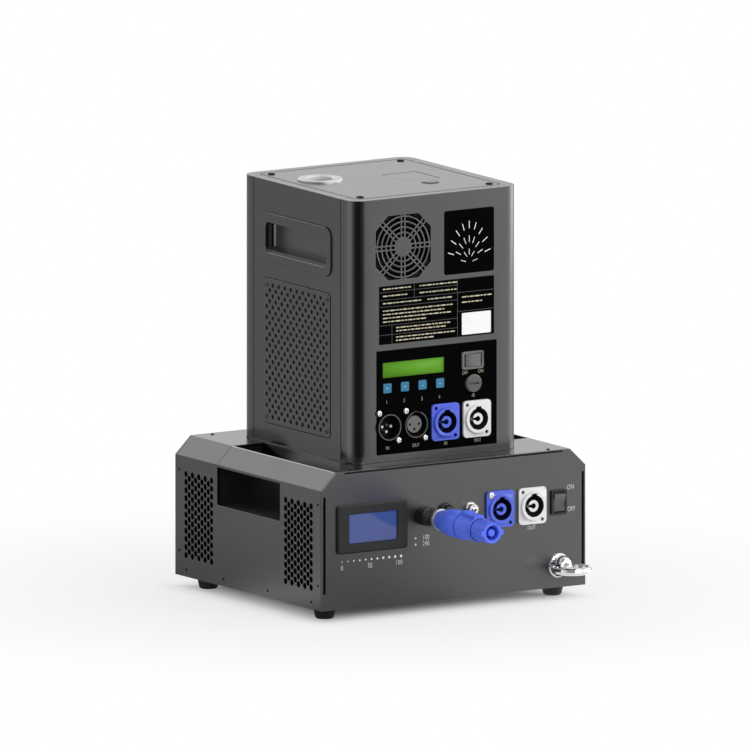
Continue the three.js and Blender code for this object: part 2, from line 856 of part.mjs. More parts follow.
function makePowerSockets() {
  const towerOut = panelThickness;
  const sockets = [
    [baseFront, 'base_power_inlet', baseInletX, baseSocketZ, 0, 'bluePlastic'],
    [baseFront, 'base_power_outlet', baseOutletX, baseSocketZ, 0, 'whitePlastic'],
    [towerFront, 'tower_power_inlet', towerInletX, towerSocketZ, towerOut, 'bluePlastic'],
    [towerFront, 'tower_power_outlet', towerOutletX, towerSocketZ, towerOut, 'whitePlastic'],
  ];
  for (const [frame, name, x, y, z, colour] of sockets) {
    piece(frame, name, powerSocket(), colour).position.set(x, y, z);
  }
}

// Rocker switch: a rimmed frame, and a paddle whose ends are arcs about its pivot

function switchBodySize() {
  return { short: switchShort - 2 * switchBodyInset, long: switchLong - 2 * switchBodyInset };
}

function switchFrame() {
  const body = switchBodySize();
  const rim = slab(roundedRect(switchShort, switchLong, switchCorner), 0, switchProud, tinyCornerSteps);
  const backShape = roundedRect(body.short, body.long, switchCorner);
  const back = slab(backShape, -switchBodyDepth, switchProud / 2, tinyCornerSteps);
  const halfShort = switchShort / 2 - switchRim;
  const halfLong = switchLong / 2 - switchRim;
  const hollow = block(
    -halfShort, halfShort, -halfLong, halfLong,
    -switchBodyDepth + switchFloor, switchProud + overrun,
  );
  return cut(join(rim, back), hollow);
}

function rockerPaddle() {
  const reach = switchLong / 2 - switchRim - seatGap;
  const width = switchShort - 2 * switchRim - 2 * seatGap;
  const shape = new THREE.Shape();
  shape.absarc(0, 0, reach, rockerEndLow, rockerEndHigh, false);
  shape.lineTo(0, rockerPivotDepth + rockerValley);
  shape.absarc(0, 0, reach, Math.PI - rockerEndHigh, Math.PI - rockerEndLow, false);
  shape.closePath();
  const paddle = slab(shape, -width / 2, width / 2);
  return paddle.rotateX(rightAngle).rotateZ(rightAngle);
}

// Both switches rest at off; the paddle turns about its short axis
function makeSwitches() {
  const switches = [
    [baseFront, 'base', baseSwitchX, baseSwitchZ, 0, 0, 'blackPlastic'],
    [towerFront, 'tower', towerSwitchX, towerSwitchZ, panelThickness, -rightAngle, 'greyPlastic'],
  ];
  for (const [frame, name, x, y, z, turn, colour] of switches) {
    const seat = new THREE.Group();
    seat.position.set(x, y, z);
    seat.rotation.z = turn;
    frame.add(seat);
    piece(seat, `${name}_switch_frame`, switchFrame(), 'blackPlastic');
    const paddle = piece(seat, `${name}_rocker`, rockerPaddle(), colour);
    paddle.position.z = -rockerPivotDepth;
    paddle.rotation.x = rockerThrow;
  }
}

// Test button in its collar
function makeTestButton() {
  const hollow = testNeckRadius - testCollarWall;
  const collar = turned([
    [0, -testDepth], [testNeckRadius, -testDepth], [testNeckRadius, 0], [testCollarRadius, 0],
    [testCollarRadius, testCollarProud - testCrown], [testCollarRadius - testCrown, testCollarProud],
    [hollow, testCollarProud], [hollow, -testDepth + testCollarWall], [0, -testDepth + testCollarWall],
  ], smallSides);
  piece(baseFront, 'test_button_collar', collar, 'steel').position.set(testX, testZ, 0);
  const capRadius = hollow - seatGap;
  const cap = turned([
    [0, -testStub], [capRadius, -testStub], [capRadius, testProud - testCrown],
    [capRadius - testCrown, testProud], [0, testProud],
  ], smallSides);
  piece(baseFront, 'test_button', cap, 'blackPlastic').position.set(testX, testZ, 0);
}

// Round charge jack with a centre pin
function makeChargeJack() {
  const floor = jackProud - jackBoreDepth;
  const jack = turned([
    [0, -jackBodyLength], [jackRadius, -jackBodyLength], [jackRadius, 0], [jackFlangeRadius, 0],
    [jackFlangeRadius, jackFlangeThickness], [jackRadius, jackFlangeThickness], [jackRadius, jackProud],
    [jackBore, jackProud], [jackBore, floor], [jackPinRadius, floor],
    [jackPinRadius, jackProud - jackPinRadius], [0, jackProud - jackPinRadius],
  ], smallSides);
  piece(baseFront, 'charge_jack', jack, 'chrome').position.set(jackX, jackZ, 0);
}

// Output gland and the twist-lock plug that is coupled to it
function makePlug() {
  const axis = new THREE.Group();
  axis.position.set(plugX, plugZ, 0);
  baseFront.add(axis);

  const gland = turned([
    [0, -glandTailLength], [glandNeckRadius, -glandTailLength], [glandNeckRadius, 0],
    [glandBaseRadius, 0], [glandBaseRadius, glandBaseLength], [glandNeckRadius, glandBaseLength],
    [glandNeckRadius, glandNeckLength], [glandBore, glandNeckLength],
    [glandBore, glandNeckLength - glandBoreDepth], [0, glandNeckLength - glandBoreDepth],
  ]);
  piece(axis, 'output_gland', gland, 'blackPlastic');

  const ringBore = glandNeckRadius + seatGap;
  const ring = turned([
    [ringBore, ringFrom], [ringRadius - ringEdge, ringFrom], [ringRadius, ringFrom + ringEdge],
    [ringRadius, ringTo - ringEdge], [ringRadius - ringEdge, ringTo], [ringBore, ringTo],
  ]);
  piece(axis, 'coupling_ring', ring, 'chrome');

  const tail = glandNeckLength + seatGap;
  const swell = ringTo + seatGap;
  const boot = [0, 1, 2, 3, 4].map((i) => {
    const share = i / 4;
    const bulge = Math.sin(share * rightAngle);
    return [plugTailRadius + (plugWaistRadius - plugTailRadius) * bulge, swell + (plugWaistFrom - swell) * share];
  });
  const body = turned([
    [0, tail - plugSpigotLength], [plugSpigotRadius, tail - plugSpigotLength], [plugSpigotRadius, tail],
    [glandNeckRadius, tail], [glandNeckRadius, swell], ...boot,
    [plugWaistRadius, plugFirstStep - seamGap], [plugBarrelRadius, plugFirstStep],
    [plugBarrelEndRadius, plugSecondStep], [plugNoseRadius, plugSecondStep],
    [plugNoseEndRadius, plugReach], [plugBoreRadius, plugReach],
    [plugBoreRadius, plugReach - plugBoreDepth], [plugCoreRadius, plugReach - plugBoreDepth],
    [plugCoreRadius, plugReach - plugCoreSink], [0, plugReach - plugCoreSink],
  ], fineSides);
  const lugs = [-1, 1].map((side) => {
    const near = side * (plugBoreRadius + plugNoseEndRadius) / 2;
    const far = side * plugLugRadius;
    return block(
      Math.min(near, far), Math.max(near, far), -plugLugWidth / 2, plugLugWidth / 2,
      plugReach - plugLugLength, plugReach,
    );
  });
  const groove = block(
    -latchWidth / 2 - seatGap, latchWidth / 2 + seatGap, latchSeat, plugWaistRadius + overrun,
    latchFrom - latchTravel - seatGap, plugSecondStep,
  );
  piece(axis, 'plug_body', cut(join(body, ...lugs), groove), 'bluePlastic');

  // Thumb latch, seen from the side: a low tab that rises to a hump at the back
  const hump = latchFrom + (latchTo - latchFrom) / 4;
  const middle = (latchFrom + latchTo) / 2;
  const side = new THREE.Shape();
  side.moveTo(latchFrom, latchSeat + seatGap);
  side.lineTo(latchTo, latchSeat + seatGap);
  side.lineTo(latchTo, latchLow);
  side.lineTo(middle, latchLow);
  side.quadraticCurveTo(hump, latchHigh + seatGap, latchFrom, latchHigh);
  side.closePath();
  const latch = slab(side, -latchWidth / 2, latchWidth / 2);
  latch.rotateY(-rightAngle).rotateZ(0);
  piece(axis, 'plug_latch', latch, 'bluePlastic');
}

// Swivel eye: a flange and ball with two cheeks, and the ring that hangs through them
function makeEye() {
  const seat = new THREE.Group();
  seat.position.set(eyeX, eyeZ, 0);
  baseFront.add(seat);
  const pivotY = -eyePivotDrop;

  // The hole is wider at its mouths, because the ring curves away from its own axis there
  const mouth = [0, 1, 2, 3].map((i) => {
    const x = (eyeBallRadius + seamGap) * i / 3;
    const away = eyeRingRadius - Math.sqrt(eyeRingRadius ** 2 - x ** 2);
    return [(eyeWireRadius + away) / Math.cos(Math.PI / eyeWireSides) + seatGap + eyeMouthFlare * i / 3, x];
  });
  const mirrored = mouth.slice(1).reverse().map(([r, x]) => [r, -x]);
  const end = mouth[mouth.length - 1][1];
  const hole = turned([[0, -end], ...mirrored, ...mouth, [0, end]], eyeWireSides);
  hole.rotateY(rightAngle).translate(0, pivotY, eyePivotOut);
  const cheeks = drum(eyeCheekRadius, -eyeCheekHalf, eyeCheekHalf);
  cheeks.rotateY(rightAngle).translate(0, pivotY, eyePivotOut);
  const ball = new THREE.SphereGeometry(eyeBallRadius, smallSides, tinySides);
  ball.translate(0, eyeBallRise, eyeBallOut);
  const front = block(
    -eyeFlangeRadius, eyeFlangeRadius, -eyeFlangeRadius, eyeFlangeRadius + overrun,
    eyeFlangeThickness / 2, eyeFlangeRadius * 2,
  );
  const lug = cut(common(join(cheeks, ball), front), hole);
  const flange = turned([
    [0, -eyeStudLength], [eyeStudRadius, -eyeStudLength], [eyeStudRadius, 0], [eyeFlangeRadius, 0],
    [eyeFlangeRadius, eyeFlangeThickness / 2], [eyeFlangeRadius - eyeFlangeThickness / 2, eyeFlangeThickness],
    [0, eyeFlangeThickness],
  ]);
  piece(seat, 'eye_mount', join(flange, lug), 'chrome');

  const ring = new THREE.TorusGeometry(eyeRingRadius, eyeWireRadius, eyeWireSides, eyeRingSides);
  ring.rotateX(rightAngle);
  piece(seat, 'eye_ring', asGeometry(asSolid(ring)), 'chrome')
    .position.set(0, pivotY, eyePivotOut + eyeRingRadius);
}

// Tower shells: one folded skin, parted by seams into a front, a rear and two side panels

function towerOutline(inset) {
  return roundedRect(towerWidth - 2 * inset, towerDepth - 2 * inset, Math.max(towerCorner - inset, topPlateCorner));
}

function towerBand(outerInset, innerInset, from, to) {
  return cut(
    slab(towerOutline(outerInset), from, to),
    slab(towerOutline(innerInset), from - overrun, to + overrun),
  );
}

// Walls, a rim folded in at the top with a sunk ledge for the top plate, and a hem at the foot
function towerSkin() {
  const ledgeTop = towerTop - sheet - seatGap;
  return join(
    towerBand(0, sheet, shellBottom, towerTop),
    towerBand(0, towerRim, towerTop - sheet, towerTop),
    towerBand(towerRim - sheet, towerRim, ledgeTop - sheet, towerTop),
    towerBand(towerRim - sheet, towerRim + towerLedge, ledgeTop - sheet, ledgeTop),
    towerBand(0, towerHem, towerBottom + sheet + seatGap, towerBottom + 2 * sheet + seatGap),
  );
}

function windowInSkin(frameTurn, distance, geometry) {
  const frame = new THREE.Group();
  const holder = faceFrame(frame, frameTurn, distance);
  frame.updateMatrixWorld(true);
  return geometry.applyMatrix4(holder.matrixWorld);
}

// Punched fan guard: four rings and eight double spokes, within a square with cut corners
function grilleCutter() {
  const flat = grilleHalf - grilleChamfer;
  const corner = [
    [grilleHalf, -flat], [grilleHalf, flat], [flat, grilleHalf], [-flat, grilleHalf],
    [-grilleHalf, flat], [-grilleHalf, -flat], [-flat, -grilleHalf], [flat, -grilleHalf],
  ];
  const from = -sheet - overrun;
  const to = overrun;
  const kept = [drum(grilleHubRadius, from - overrun, to + overrun, 0, 0, grilleSides)];
  for (let ring = 1; ring <= grilleRings; ring += 1) {
    const middle = grilleHubRadius + ring * grilleRingPitch - grilleWire / 2;
    kept.push(cut(
      drum(middle + grilleWire / 2, from - overrun, to + overrun, 0, 0, grilleSides),
      drum(middle - grilleWire / 2, from - 2 * overrun, to + 2 * overrun, 0, 0, grilleSides),
    ));
  }
  for (let i = 0; i < grilleSpokes; i += 1) {
    for (const side of [-1, 1]) {
      const middle = side * grilleSpokeOffset;
      const bar = block(
        0, 2 * grilleHalf, middle - grilleWire / 2, middle + grilleWire / 2,
        from - overrun, to + overrun,
      );
      kept.push(bar.rotateZ(i * fullTurn / grilleSpokes));
    }
  }
  return cut(slab(polygon(corner), from, to), ...kept).translate(fanX, fanZ, 0);
}

function makeTowerShells() {
  const skin = towerSkin();
  const tall = [towerBottom - overrun, towerTop + overrun];
  const wide = towerHalfWidth + overrun;
  const deep = towerHalfDepth + overrun;
  const frontZone = block(-wide, wide, -deep, -towerSeamY - seamGap / 2, ...tall);
  const rearZone = block(-wide, wide, towerSeamY + seamGap / 2, deep, ...tall);
  const sideEdge = towerSeamY - seamGap / 2;
  const windowTop = panelMiddleZ + panelHeight / 2 - panelLap;
  const windowHeight = windowTop - panelWindowBottomZ;
  const windowMiddle = (windowTop + panelWindowBottomZ) / 2;
  const frontCuts = [
    throughWindow(panelWidth - 2 * panelLap, windowHeight, sheet, 0, windowMiddle),
    ...panelSocketHoles(),
    grilleCutter(),
  ];
  const front = cut(
    common(skin, frontZone),
    ...frontCuts.map((tool) => windowInSkin(0, towerHalfDepth, tool)),
  );
  piece(tower, 'tower_front_shell', front, 'paint');
  piece(tower, 'tower_rear_shell', common(skin, rearZone), 'paint');

  const sides = [['tower_left_panel', -1], ['tower_right_panel', 1]];
  for (const [name, side] of sides) {
    const near = Math.min(side * wide, 0);
    const zone = block(near, near + wide, -sideEdge, sideEdge, ...tall);
    const turn = side * rightAngle;
    const cupHole = throughWindow(cupWidth, cupHeight, cupCorner, 0, cupMiddleZ, cornerSteps);
    const ventHole = throughWindow(ventWidth - 2 * ventLap, ventHeight - 2 * ventLap, ventCorner, 0, ventMiddleZ);
    const panel = cut(
      common(skin, zone),
      windowInSkin(turn, towerHalfWidth, cupHole),
      windowInSkin(turn, towerHalfWidth, ventHole),
    );
    piece(tower, name, panel, 'paint');
  }
}

function makeTowerFloor() {
  const floor = slab(towerOutline(sheet + seatGap), towerBottom, towerBottom + sheet);
  piece(tower, 'tower_floor', floor, 'paint');
}

function makeTopPlate() {
  const plate = slab(towerOutline(towerRim + seamGap / 2), towerTop - sheet, towerTop);
  const over = [towerTop - sheet - overrun, towerTop + overrun];
  const hatch = roundedRect(hatchWidth + 2 * seatGap, hatchDepth + 2 * seatGap, hatchCorner, hatchX, hatchY);
  const top = cut(
    plate,
    drum(nozzleNeckRadius + 2 * seatGap, ...over, nozzleX, nozzleY, fineSides),
    slab(hatch, ...over, tinyCornerSteps),
    drum(knobNeckRadius + 2 * seatGap, ...over, knobX, knobY, smallSides),
  );
  piece(tower, 'tower_top_plate', top, 'paint');
}

function makeVentPlates() {
  for (const [frame, name] of [[towerLeft, 'vent_plate_left'], [towerRight, 'vent_plate_right']]) {
    const plate = slab(roundedRect(ventWidth, ventHeight, ventCorner), 0, ventThickness, tinyCornerSteps);
    piece(frame, name, plate, 'paint').position.y = ventMiddleZ;
  }
}

// Handle cup: a flush face, a lap behind the side panel, and a finger pocket that hooks upwards
function handleCup() {
  const backZ = -pocketDepth - linerSheet;
  const lapFrom = -sheet - seatGap - linerSheet;
  const face = slab(roundedRect(cupWidth, cupHeight, cupCorner), lapFrom, 0);
  const lap = slab(
    roundedRect(cupWidth + 2 * cupLap, cupHeight + 2 * cupLap, cupCorner + cupLap),
    lapFrom, -sheet - seatGap,
  );
  const pocketY = pocketRise;
  const shellHeight = pocketHeight + pocketHook + 2 * linerSheet;
  const shell = slab(
    roundedRect(pocketWidth + 2 * linerSheet, shellHeight, pocketCorner + linerSheet, 0, pocketY + pocketHook / 2),
    backZ, lapFrom + linerSheet / 2,
  );
  const mouth = slab(roundedRect(pocketWidth, pocketHeight, pocketCorner, 0, pocketY), -pocketDepth, overrun);
  const hook = slab(
    roundedRect(pocketWidth, pocketHeight + pocketHook, pocketCorner, 0, pocketY + pocketHook / 2),
    -pocketDepth, -pocketLip,
  );
  return cut(join(face, lap, shell), mouth, hook);
}

function makeHandleCups() {
  for (const [frame, name] of [[towerLeft, 'handle_cup_left'], [towerRight, 'handle_cup_right']]) {
    piece(frame, name, handleCup(), 'paint').position.y = cupMiddleZ;
  }
}

// Cooling fan behind the grille

function makeFan() {
  const seat = new THREE.Group();
  seat.position.set(fanX, fanZ, -sheet - seatGap);
  towerFront.add(seat);

  const frame = slab(roundedRect(fanSize, fanSize, fanCorner), -fanDepth, 0);
  const bore = drum(fanBore, -fanDepth - overrun, overrun);
  const struts = [0, 1, 2].map((i) => block(
    -fanBore - seatGap, fanBore + seatGap, -fanStrut / 2, fanStrut / 2,
    -fanDepth, -fanDepth + fanStrut,
  ).rotateZ(i * Math.PI / 3));
  const motorPlate = drum(fanHubRadius, -fanDepth, -fanDepth + fanStrut);
  piece(seat, 'fan_frame', join(cut(frame, bore), motorPlate, ...struts), 'blackPlastic');

  const hubBack = -fanDepth + fanStrut + seatGap;
  const hub = turned([
    [0, hubBack], [fanHubRadius, hubBack], [fanHubRadius, -2 * seamGap - seatGap],
    [fanHubRadius - seamGap, -seamGap - seatGap], [0, -seamGap - seatGap],
  ]);
  const blades = [];
  for (let i = 0; i < fanBlades; i += 1) {
    blades.push(fanBlade(hubBack).rotateZ(i * fullTurn / fanBlades));
  }
  piece(seat, 'fan_rotor', join(hub, ...blades), 'blackPlastic');
}

// One blade: stations from hub to tip, each a thin slanted slice that slants less towards the tip
function fanBlade(from) {
  const stations = [];
  for (let i = 0; i <= fanBladeSteps; i += 1) {
    const share = i / fanBladeSteps;
    const radius = fanHubRadius * (1 - share) + fanBladeTip * share - seamGap * (1 - share);
    const spread = fanBladeInnerTurn + (fanBladeOuterTurn - fanBladeInnerTurn) * share;
    const half = fanBladeThickness / 2 / radius;
    stations.push([
      [-spread - half, from + seatGap], [-spread + half, from + seatGap],
      [spread + half, from + fanBladeHeight], [spread - half, from + fanBladeHeight],
    ].map(([angle, z]) => new THREE.Vector3(radius * Math.cos(angle), radius * Math.sin(angle), z)));
  }
  return capped(stations);
}

// A row of like sections stitched together and closed at both ends
function capped(sections) {
  const count = sections[0].length;
  const positions = sections.flat().flatMap((p) => [p.x, p.y, p.z]);
  const last = (sections.length - 1) * count;
  const index = [];
  for (let s = 0; s < sections.length - 1; s += 1) {
    for (let i = 0; i < count; i += 1) {
      const a = s * count + i;
      const b = s * count + (i + 1) % count;
      index.push(a, b, b + count, a, b + count, a + count);
    }
  }
  for (let i = 1; i < count - 1; i += 1) {
    index.push(0, i + 1, i, last, last + i, last + i + 1);
  }
  const geometry = new THREE.BufferGeometry();
  geometry.setAttribute('position', new THREE.Float32BufferAttribute(positions, 3));
  geometry.setIndex(index);
  return geometry;
}

// Control panel with its display, keys, fuse cap and signal sockets

function buttonPlaces() {
  return Array.from({ length: buttonCount }, (unused, i) => buttonFirstX + i * buttonPitch);
}

// Holes for the four round sockets, alike in the panel and in the shell behind it
function panelSocketHoles() {
  const power = [towerInletX, towerOutletX].map((x) => throughHole(socketBodyRadius, x, towerSocketZ));
  const signal = [signalInX, signalOutX].map((x) => throughHole(signalBodyRadius, x, towerSocketZ));
  return [...power, ...signal];
}

function makeControlPanel() {
  const half = panelWidth / 2;
  const bottom = panelMiddleZ - panelHeight / 2;
  const plate = block(-half, half, bottom, bottom + panelHeight, 0, panelThickness);
  const body = switchBodySize();
  const lift = panelThickness;
  const holes = [
    throughWindow(displayWidth, displayHeight, seamGap, displayX, displayZ),
    throughWindow(body.long, body.short, switchCorner, towerSwitchX, towerSwitchZ),
    throughHole(fuseNeckRadius, fuseX, fuseZ),
    ...panelSocketHoles(),
    ...buttonPlaces().map((x) => throughWindow(buttonSize, buttonSize, buttonCorner, x, buttonZ)),
  ];
  piece(towerFront, 'control_panel', cut(plate, ...holes.map((hole) => hole.translate(0, 0, lift))), 'blackPanel');
}

function makeDisplay() {
  const halfLens = [displayWidth / 2, displayHeight / 2];
  const lens = block(-halfLens[0], halfLens[0], -halfLens[1], halfLens[1], -seatGap - seamGap, panelThickness / 2);
  const halfWidth = displayBoardWidth / 2;
  const halfHeight = displayBoardHeight / 2;
  const board = block(-halfWidth, halfWidth, -halfHeight, halfHeight, -displayBoardDepth, -seatGap);
  piece(towerFront, 'display', join(lens, board), 'screenGreen').position.set(displayX, displayZ, 0);
}

// Square keys, each held behind the panel by its own flange
function makeButtons() {
  buttonPlaces().forEach((x, i) => {
    const flangeTop = -seatGap;
    const half = buttonFlange / 2;
    const stemHalf = buttonSize / 4;
    const capTop = panelThickness + buttonProud;
    const cap = slab(roundedRect(buttonSize, buttonSize, buttonCorner), flangeTop - seamGap, capTop, tinyCornerSteps);
    const flange = block(-half, half, -half, half, flangeTop - buttonFlangeThickness, flangeTop);
    const stem = block(-stemHalf, stemHalf, -stemHalf, stemHalf, -buttonDepth, flangeTop - seamGap);
    piece(towerFront, `menu_button_${i + 1}`, join(cap, flange, stem), 'keyBlue').position.set(x, buttonZ, 0);
  });
}

// Bayonet fuse cap with a coin slot
function makeFuseCap() {
  const cap = turned([
    [0, -fuseNeckLength], [fuseNeckRadius, -fuseNeckLength], [fuseNeckRadius, 0], [fuseCapRadius, 0],
    [fuseCapRadius, fuseCapProud - fuseCapEdge], [fuseCapRadius - fuseCapEdge, fuseCapProud], [0, fuseCapProud],
  ]);
  const slot = block(
    -fuseSlotLength / 2, fuseSlotLength / 2, -fuseSlotWidth / 2, fuseSlotWidth / 2,
    fuseCapProud - fuseSlotDepth, fuseCapProud + overrun,
  );
  piece(towerFront, 'fuse_cap', cut(cap, slot), 'blackPlastic').position.set(fuseX, fuseZ, panelThickness);
}

// Three contacts on a circle, two side by side and one below
function contactPlaces() {
  return [0, Math.PI, -rightAngle].map((angle) => [
    signalPinCircle * Math.cos(angle), signalPinCircle * Math.sin(angle),
  ]);
}

// Signal sockets are screwed on from behind, so only their round shells come through the panel

function signalBlank() {
  const rimTop = panelThickness + signalRimProud;
  const back = -sheet - seatGap;
  const flange = slab(
    roundedRect(signalFlangeWidth, flangeHeight, flangeCorner),
    back - signalFlangeThickness, back, tinyCornerSteps,
  );
  return join(flange, drum(signalBodyRadius, -signalBodyLength, rimTop));
}

function makeSignalSockets() {
  const rimTop = panelThickness + signalRimProud;
  const wellRadius = signalBodyRadius - signalRimWall;
  const wellBottom = rimTop - signalWellDepth;
  const openWell = drum(wellRadius, wellBottom, rimTop + overrun);

  const pins = contactPlaces().map(([x, y]) => drum(
    signalPinRadius, wellBottom - overrun, rimTop - signalPinSink, x, y, tinySides,
  ));
  const male = join(cut(signalBlank(), openWell), ...pins);
  piece(towerFront, 'signal_in_socket', male, 'blackPlastic').position.set(signalInX, towerSocketZ, 0);

  const insertTop = rimTop - signalInsertSink;
  const groove = cut(openWell, drum(signalInsertRadius, wellBottom - overrun, insertTop, 0, 0, smallSides));
  const contacts = contactPlaces().map(([x, y]) => drum(
    signalContactRadius, insertTop - signalContactDepth, insertTop + overrun, x, y, tinySides,
  ));
  // The shell is open at the top, where a plug's release tab goes
  const tab = block(
    -signalLatchWidth / 2, signalLatchWidth / 2, wellRadius - signalLatchHeight,
    signalBodyRadius + overrun, panelThickness, rimTop + overrun,
  );
  const female = cut(signalBlank(), groove, tab, ...contacts);
  piece(towerFront, 'signal_out_socket', female, 'blackPlastic').position.set(signalOutX, towerSocketZ, 0);
}

// Nozzle ring on the top plate and the heating chamber under it
function makeNozzle() {
  const bottom = towerTop - sheet;
  const top = towerTop + nozzleProud;
  const ring = turned([
    [nozzleBore, bottom], [nozzleNeckRadius, bottom], [nozzleNeckRadius, towerTop], [nozzleRadius, towerTop],
    [nozzleRadius, top - nozzleEdge], [nozzleRadius - nozzleEdge, top],
    [nozzleBore + nozzleLead, top], [nozzleBore, top - nozzleLead],
  ], fineSides);
  piece(tower, 'nozzle_ring', ring, 'chrome').position.set(nozzleX, nozzleY, 0);

  const rim = bottom - seatGap;
  const under = rim - chamberFlangeThickness;
  const bore = chamberRadius - chamberWall;
  const chamber = turned([
    [nozzleBore, rim], [chamberFlangeRadius, rim], [chamberFlangeRadius, under], [chamberRadius, under],
    [chamberRadius, chamberBottomZ], [chamberAirRadius, chamberBottomZ],
    [chamberAirRadius, chamberBottomZ + chamberFloor], [bore, chamberBottomZ + chamberFloor],
    [bore, under - chamberWall], [nozzleBore, under],
  ], smallSides);
  const port = drum(feedBoreRadius, 0, 2 * chamberRadius, 0, 0, tinySides);
  port.rotateY(rightAngle).rotateZ(feedHeading() + Math.PI).translate(0, 0, feedZ);
  piece(tower, 'heating_chamber', cut(chamber, port), 'steel').position.set(nozzleX, nozzleY, 0);
}

// Direction of the feed in plan, from the hopper to the chamber
function feedHeading() {
  return Math.atan2(nozzleY - hatchY, nozzleX - hatchX);
}

function feedReach() {
  return Math.hypot(nozzleY - hatchY, nozzleX - hatchX) - chamberRadius - seatGap;
}

// A closed ring of points, from a rounded rectangle at share 0 to a circle at share 1
function funnelRing(share, grow, z) {
  const ring = [];
  for (let i = 0; i < smallSides; i += 1) {
    const angle = (i + 0.5) * fullTurn / smallSides;
    const c = Math.cos(angle);
    const s = Math.sin(angle);
    const halfX = hatchWidth / 2 - hopperMouthInset;
    const halfY = hatchDepth / 2 - hopperMouthInset;
    const square = Math.min(halfX / Math.abs(c), halfY / Math.abs(s));
    const reach = square * (1 - share) + hopperNeckRadius * share + grow;
    ring.push(new THREE.Vector3(reach * c, reach * s, z));
  }
  return ring;
}

// Hopper: a funnel from the square hatch down to a round neck, on top of the feed tube
function makeHopper() {
  const rim = towerTop - sheet - seatGap;
  const neckZ = feedZ + feedTubeRadius;
  const slopeShares = [0, 0.5, 1];
  const level = (share) => rim + (neckZ - rim) * share;
  const outside = slopeShares.map((share) => funnelRing(share * share, 0, level(share)));
  const inside = slopeShares.map((share) => funnelRing(share * share, -hopperWall, level(share)));
  const neckOut = funnelRing(1, 0, feedZ);
  const neckIn = funnelRing(1, -hopperWall, feedZ);
  const funnel = loft([...outside, neckOut, neckIn, ...inside.reverse()]);
  const reach = feedReach();
  const heading = feedHeading();
  const along = (geometry) => geometry.rotateY(rightAngle).rotateZ(heading).translate(0, 0, feedZ);
  const tube = along(drum(feedTubeRadius, -feedTubeBack, reach, 0, 0, smallSides));
  const bore = along(drum(feedBoreRadius, -feedTubeBack + sheet, reach + overrun, 0, 0, smallSides));
  const shaftHole = along(drum(feedShaftRadius + seatGap, -feedTubeBack - overrun, 0, 0, 0, tinySides));
  const throat = drum(hopperNeckRadius - 2 * hopperWall, feedZ, neckZ + overrun, 0, 0, tinySides);
  // The front of the rim is cut down to let the latch tongue reach the hook of the lid
  const frontY = -hatchDepth / 2;
  const notch = block(
    -hatchWidth, hatchWidth, frontY - overrun, frontY + hatchHookBack + overrun,
    rim - hatchHookDrop - sheet, rim + overrun,
  );
  const hopper = cut(join(funnel, tube), bore, throat, shaftHole, notch);
  piece(tower, 'hopper', hopper, 'steel').position.set(hatchX, hatchY, 0);
}

// Feed screw: a shaft with one helical flight
function makeFeedScrew() {
  const from = -feedTubeBack + sheet + seamGap;
  const to = feedReach() - seamGap;
  const turns = (to - from) / feedPitch;
  const steps = Math.round(turns * feedFlightSteps);
  const root = feedShaftRadius / 2;
  const sections = [];
  for (let i = 0; i <= steps; i += 1) {
    const share = i / steps;
    const angle = share * turns * fullTurn;
    const middle = from + feedFlightThickness / 2 + (to - from - feedFlightThickness) * share;
    const low = middle - feedFlightThickness / 2;
    const high = middle + feedFlightThickness / 2;
    const spot = (r, z) => new THREE.Vector3(r * Math.cos(angle), r * Math.sin(angle), z);
    sections.push([spot(root, low), spot(feedScrewRadius, low), spot(feedScrewRadius, high), spot(root, high)]);
  }
  const shaft = drum(feedShaftRadius, -feedTubeBack - feedShaftTail, to, 0, 0, tinySides);
  const screw = join(shaft, capped(sections)).rotateY(rightAngle);
  const mesh = piece(tower, 'feed_screw', screw, 'steel');
  mesh.position.set(hatchX, hatchY, feedZ);
  mesh.rotation.z = feedHeading();
}

// Geared motor that turns the feed screw
function makeFeedMotor() {
  const face = -feedTubeBack - seatGap;
  const gearbox = slab(roundedRect(gearboxSize, gearboxSize, gearboxCorner), face - gearboxLength, face);
  const can = drum(motorRadius, face - gearboxLength - motorLength, face - gearboxLength / 2);
  const socket = drum(feedShaftRadius + seatGap, -feedTubeBack - feedShaftTail - seatGap, overrun, 0, 0, tinySides);
  const mesh = piece(tower, 'feed_motor', cut(join(gearbox, can), socket).rotateY(rightAngle), 'steel');
  mesh.position.set(hatchX, hatchY, feedZ);
  mesh.rotation.z = feedHeading();
}

// Hatch lid, flush in the top plate, with a hook below its front edge for the latch
function makeHatch() {
  const bottom = towerTop - sheet;
  const lid = slab(roundedRect(hatchWidth, hatchDepth, hatchCorner), bottom, towerTop, tinyCornerSteps);
  const frontY = -hatchDepth / 2;
  const half = hatchHookWidth / 2;
  const web = block(
    -half, half, frontY + hatchHookBack - hatchHookSheet, frontY + hatchHookBack,
    bottom - hatchHookDrop, bottom + sheet / 2,
  );
  const foot = block(
    -half, half, frontY + sheet, frontY + hatchHookBack,
    bottom - hatchHookDrop, bottom - hatchHookDrop + hatchHookSheet,
  );
  piece(tower, 'hatch_lid', join(lid, web, foot), 'paint').position.set(hatchX, hatchY, 0);
}

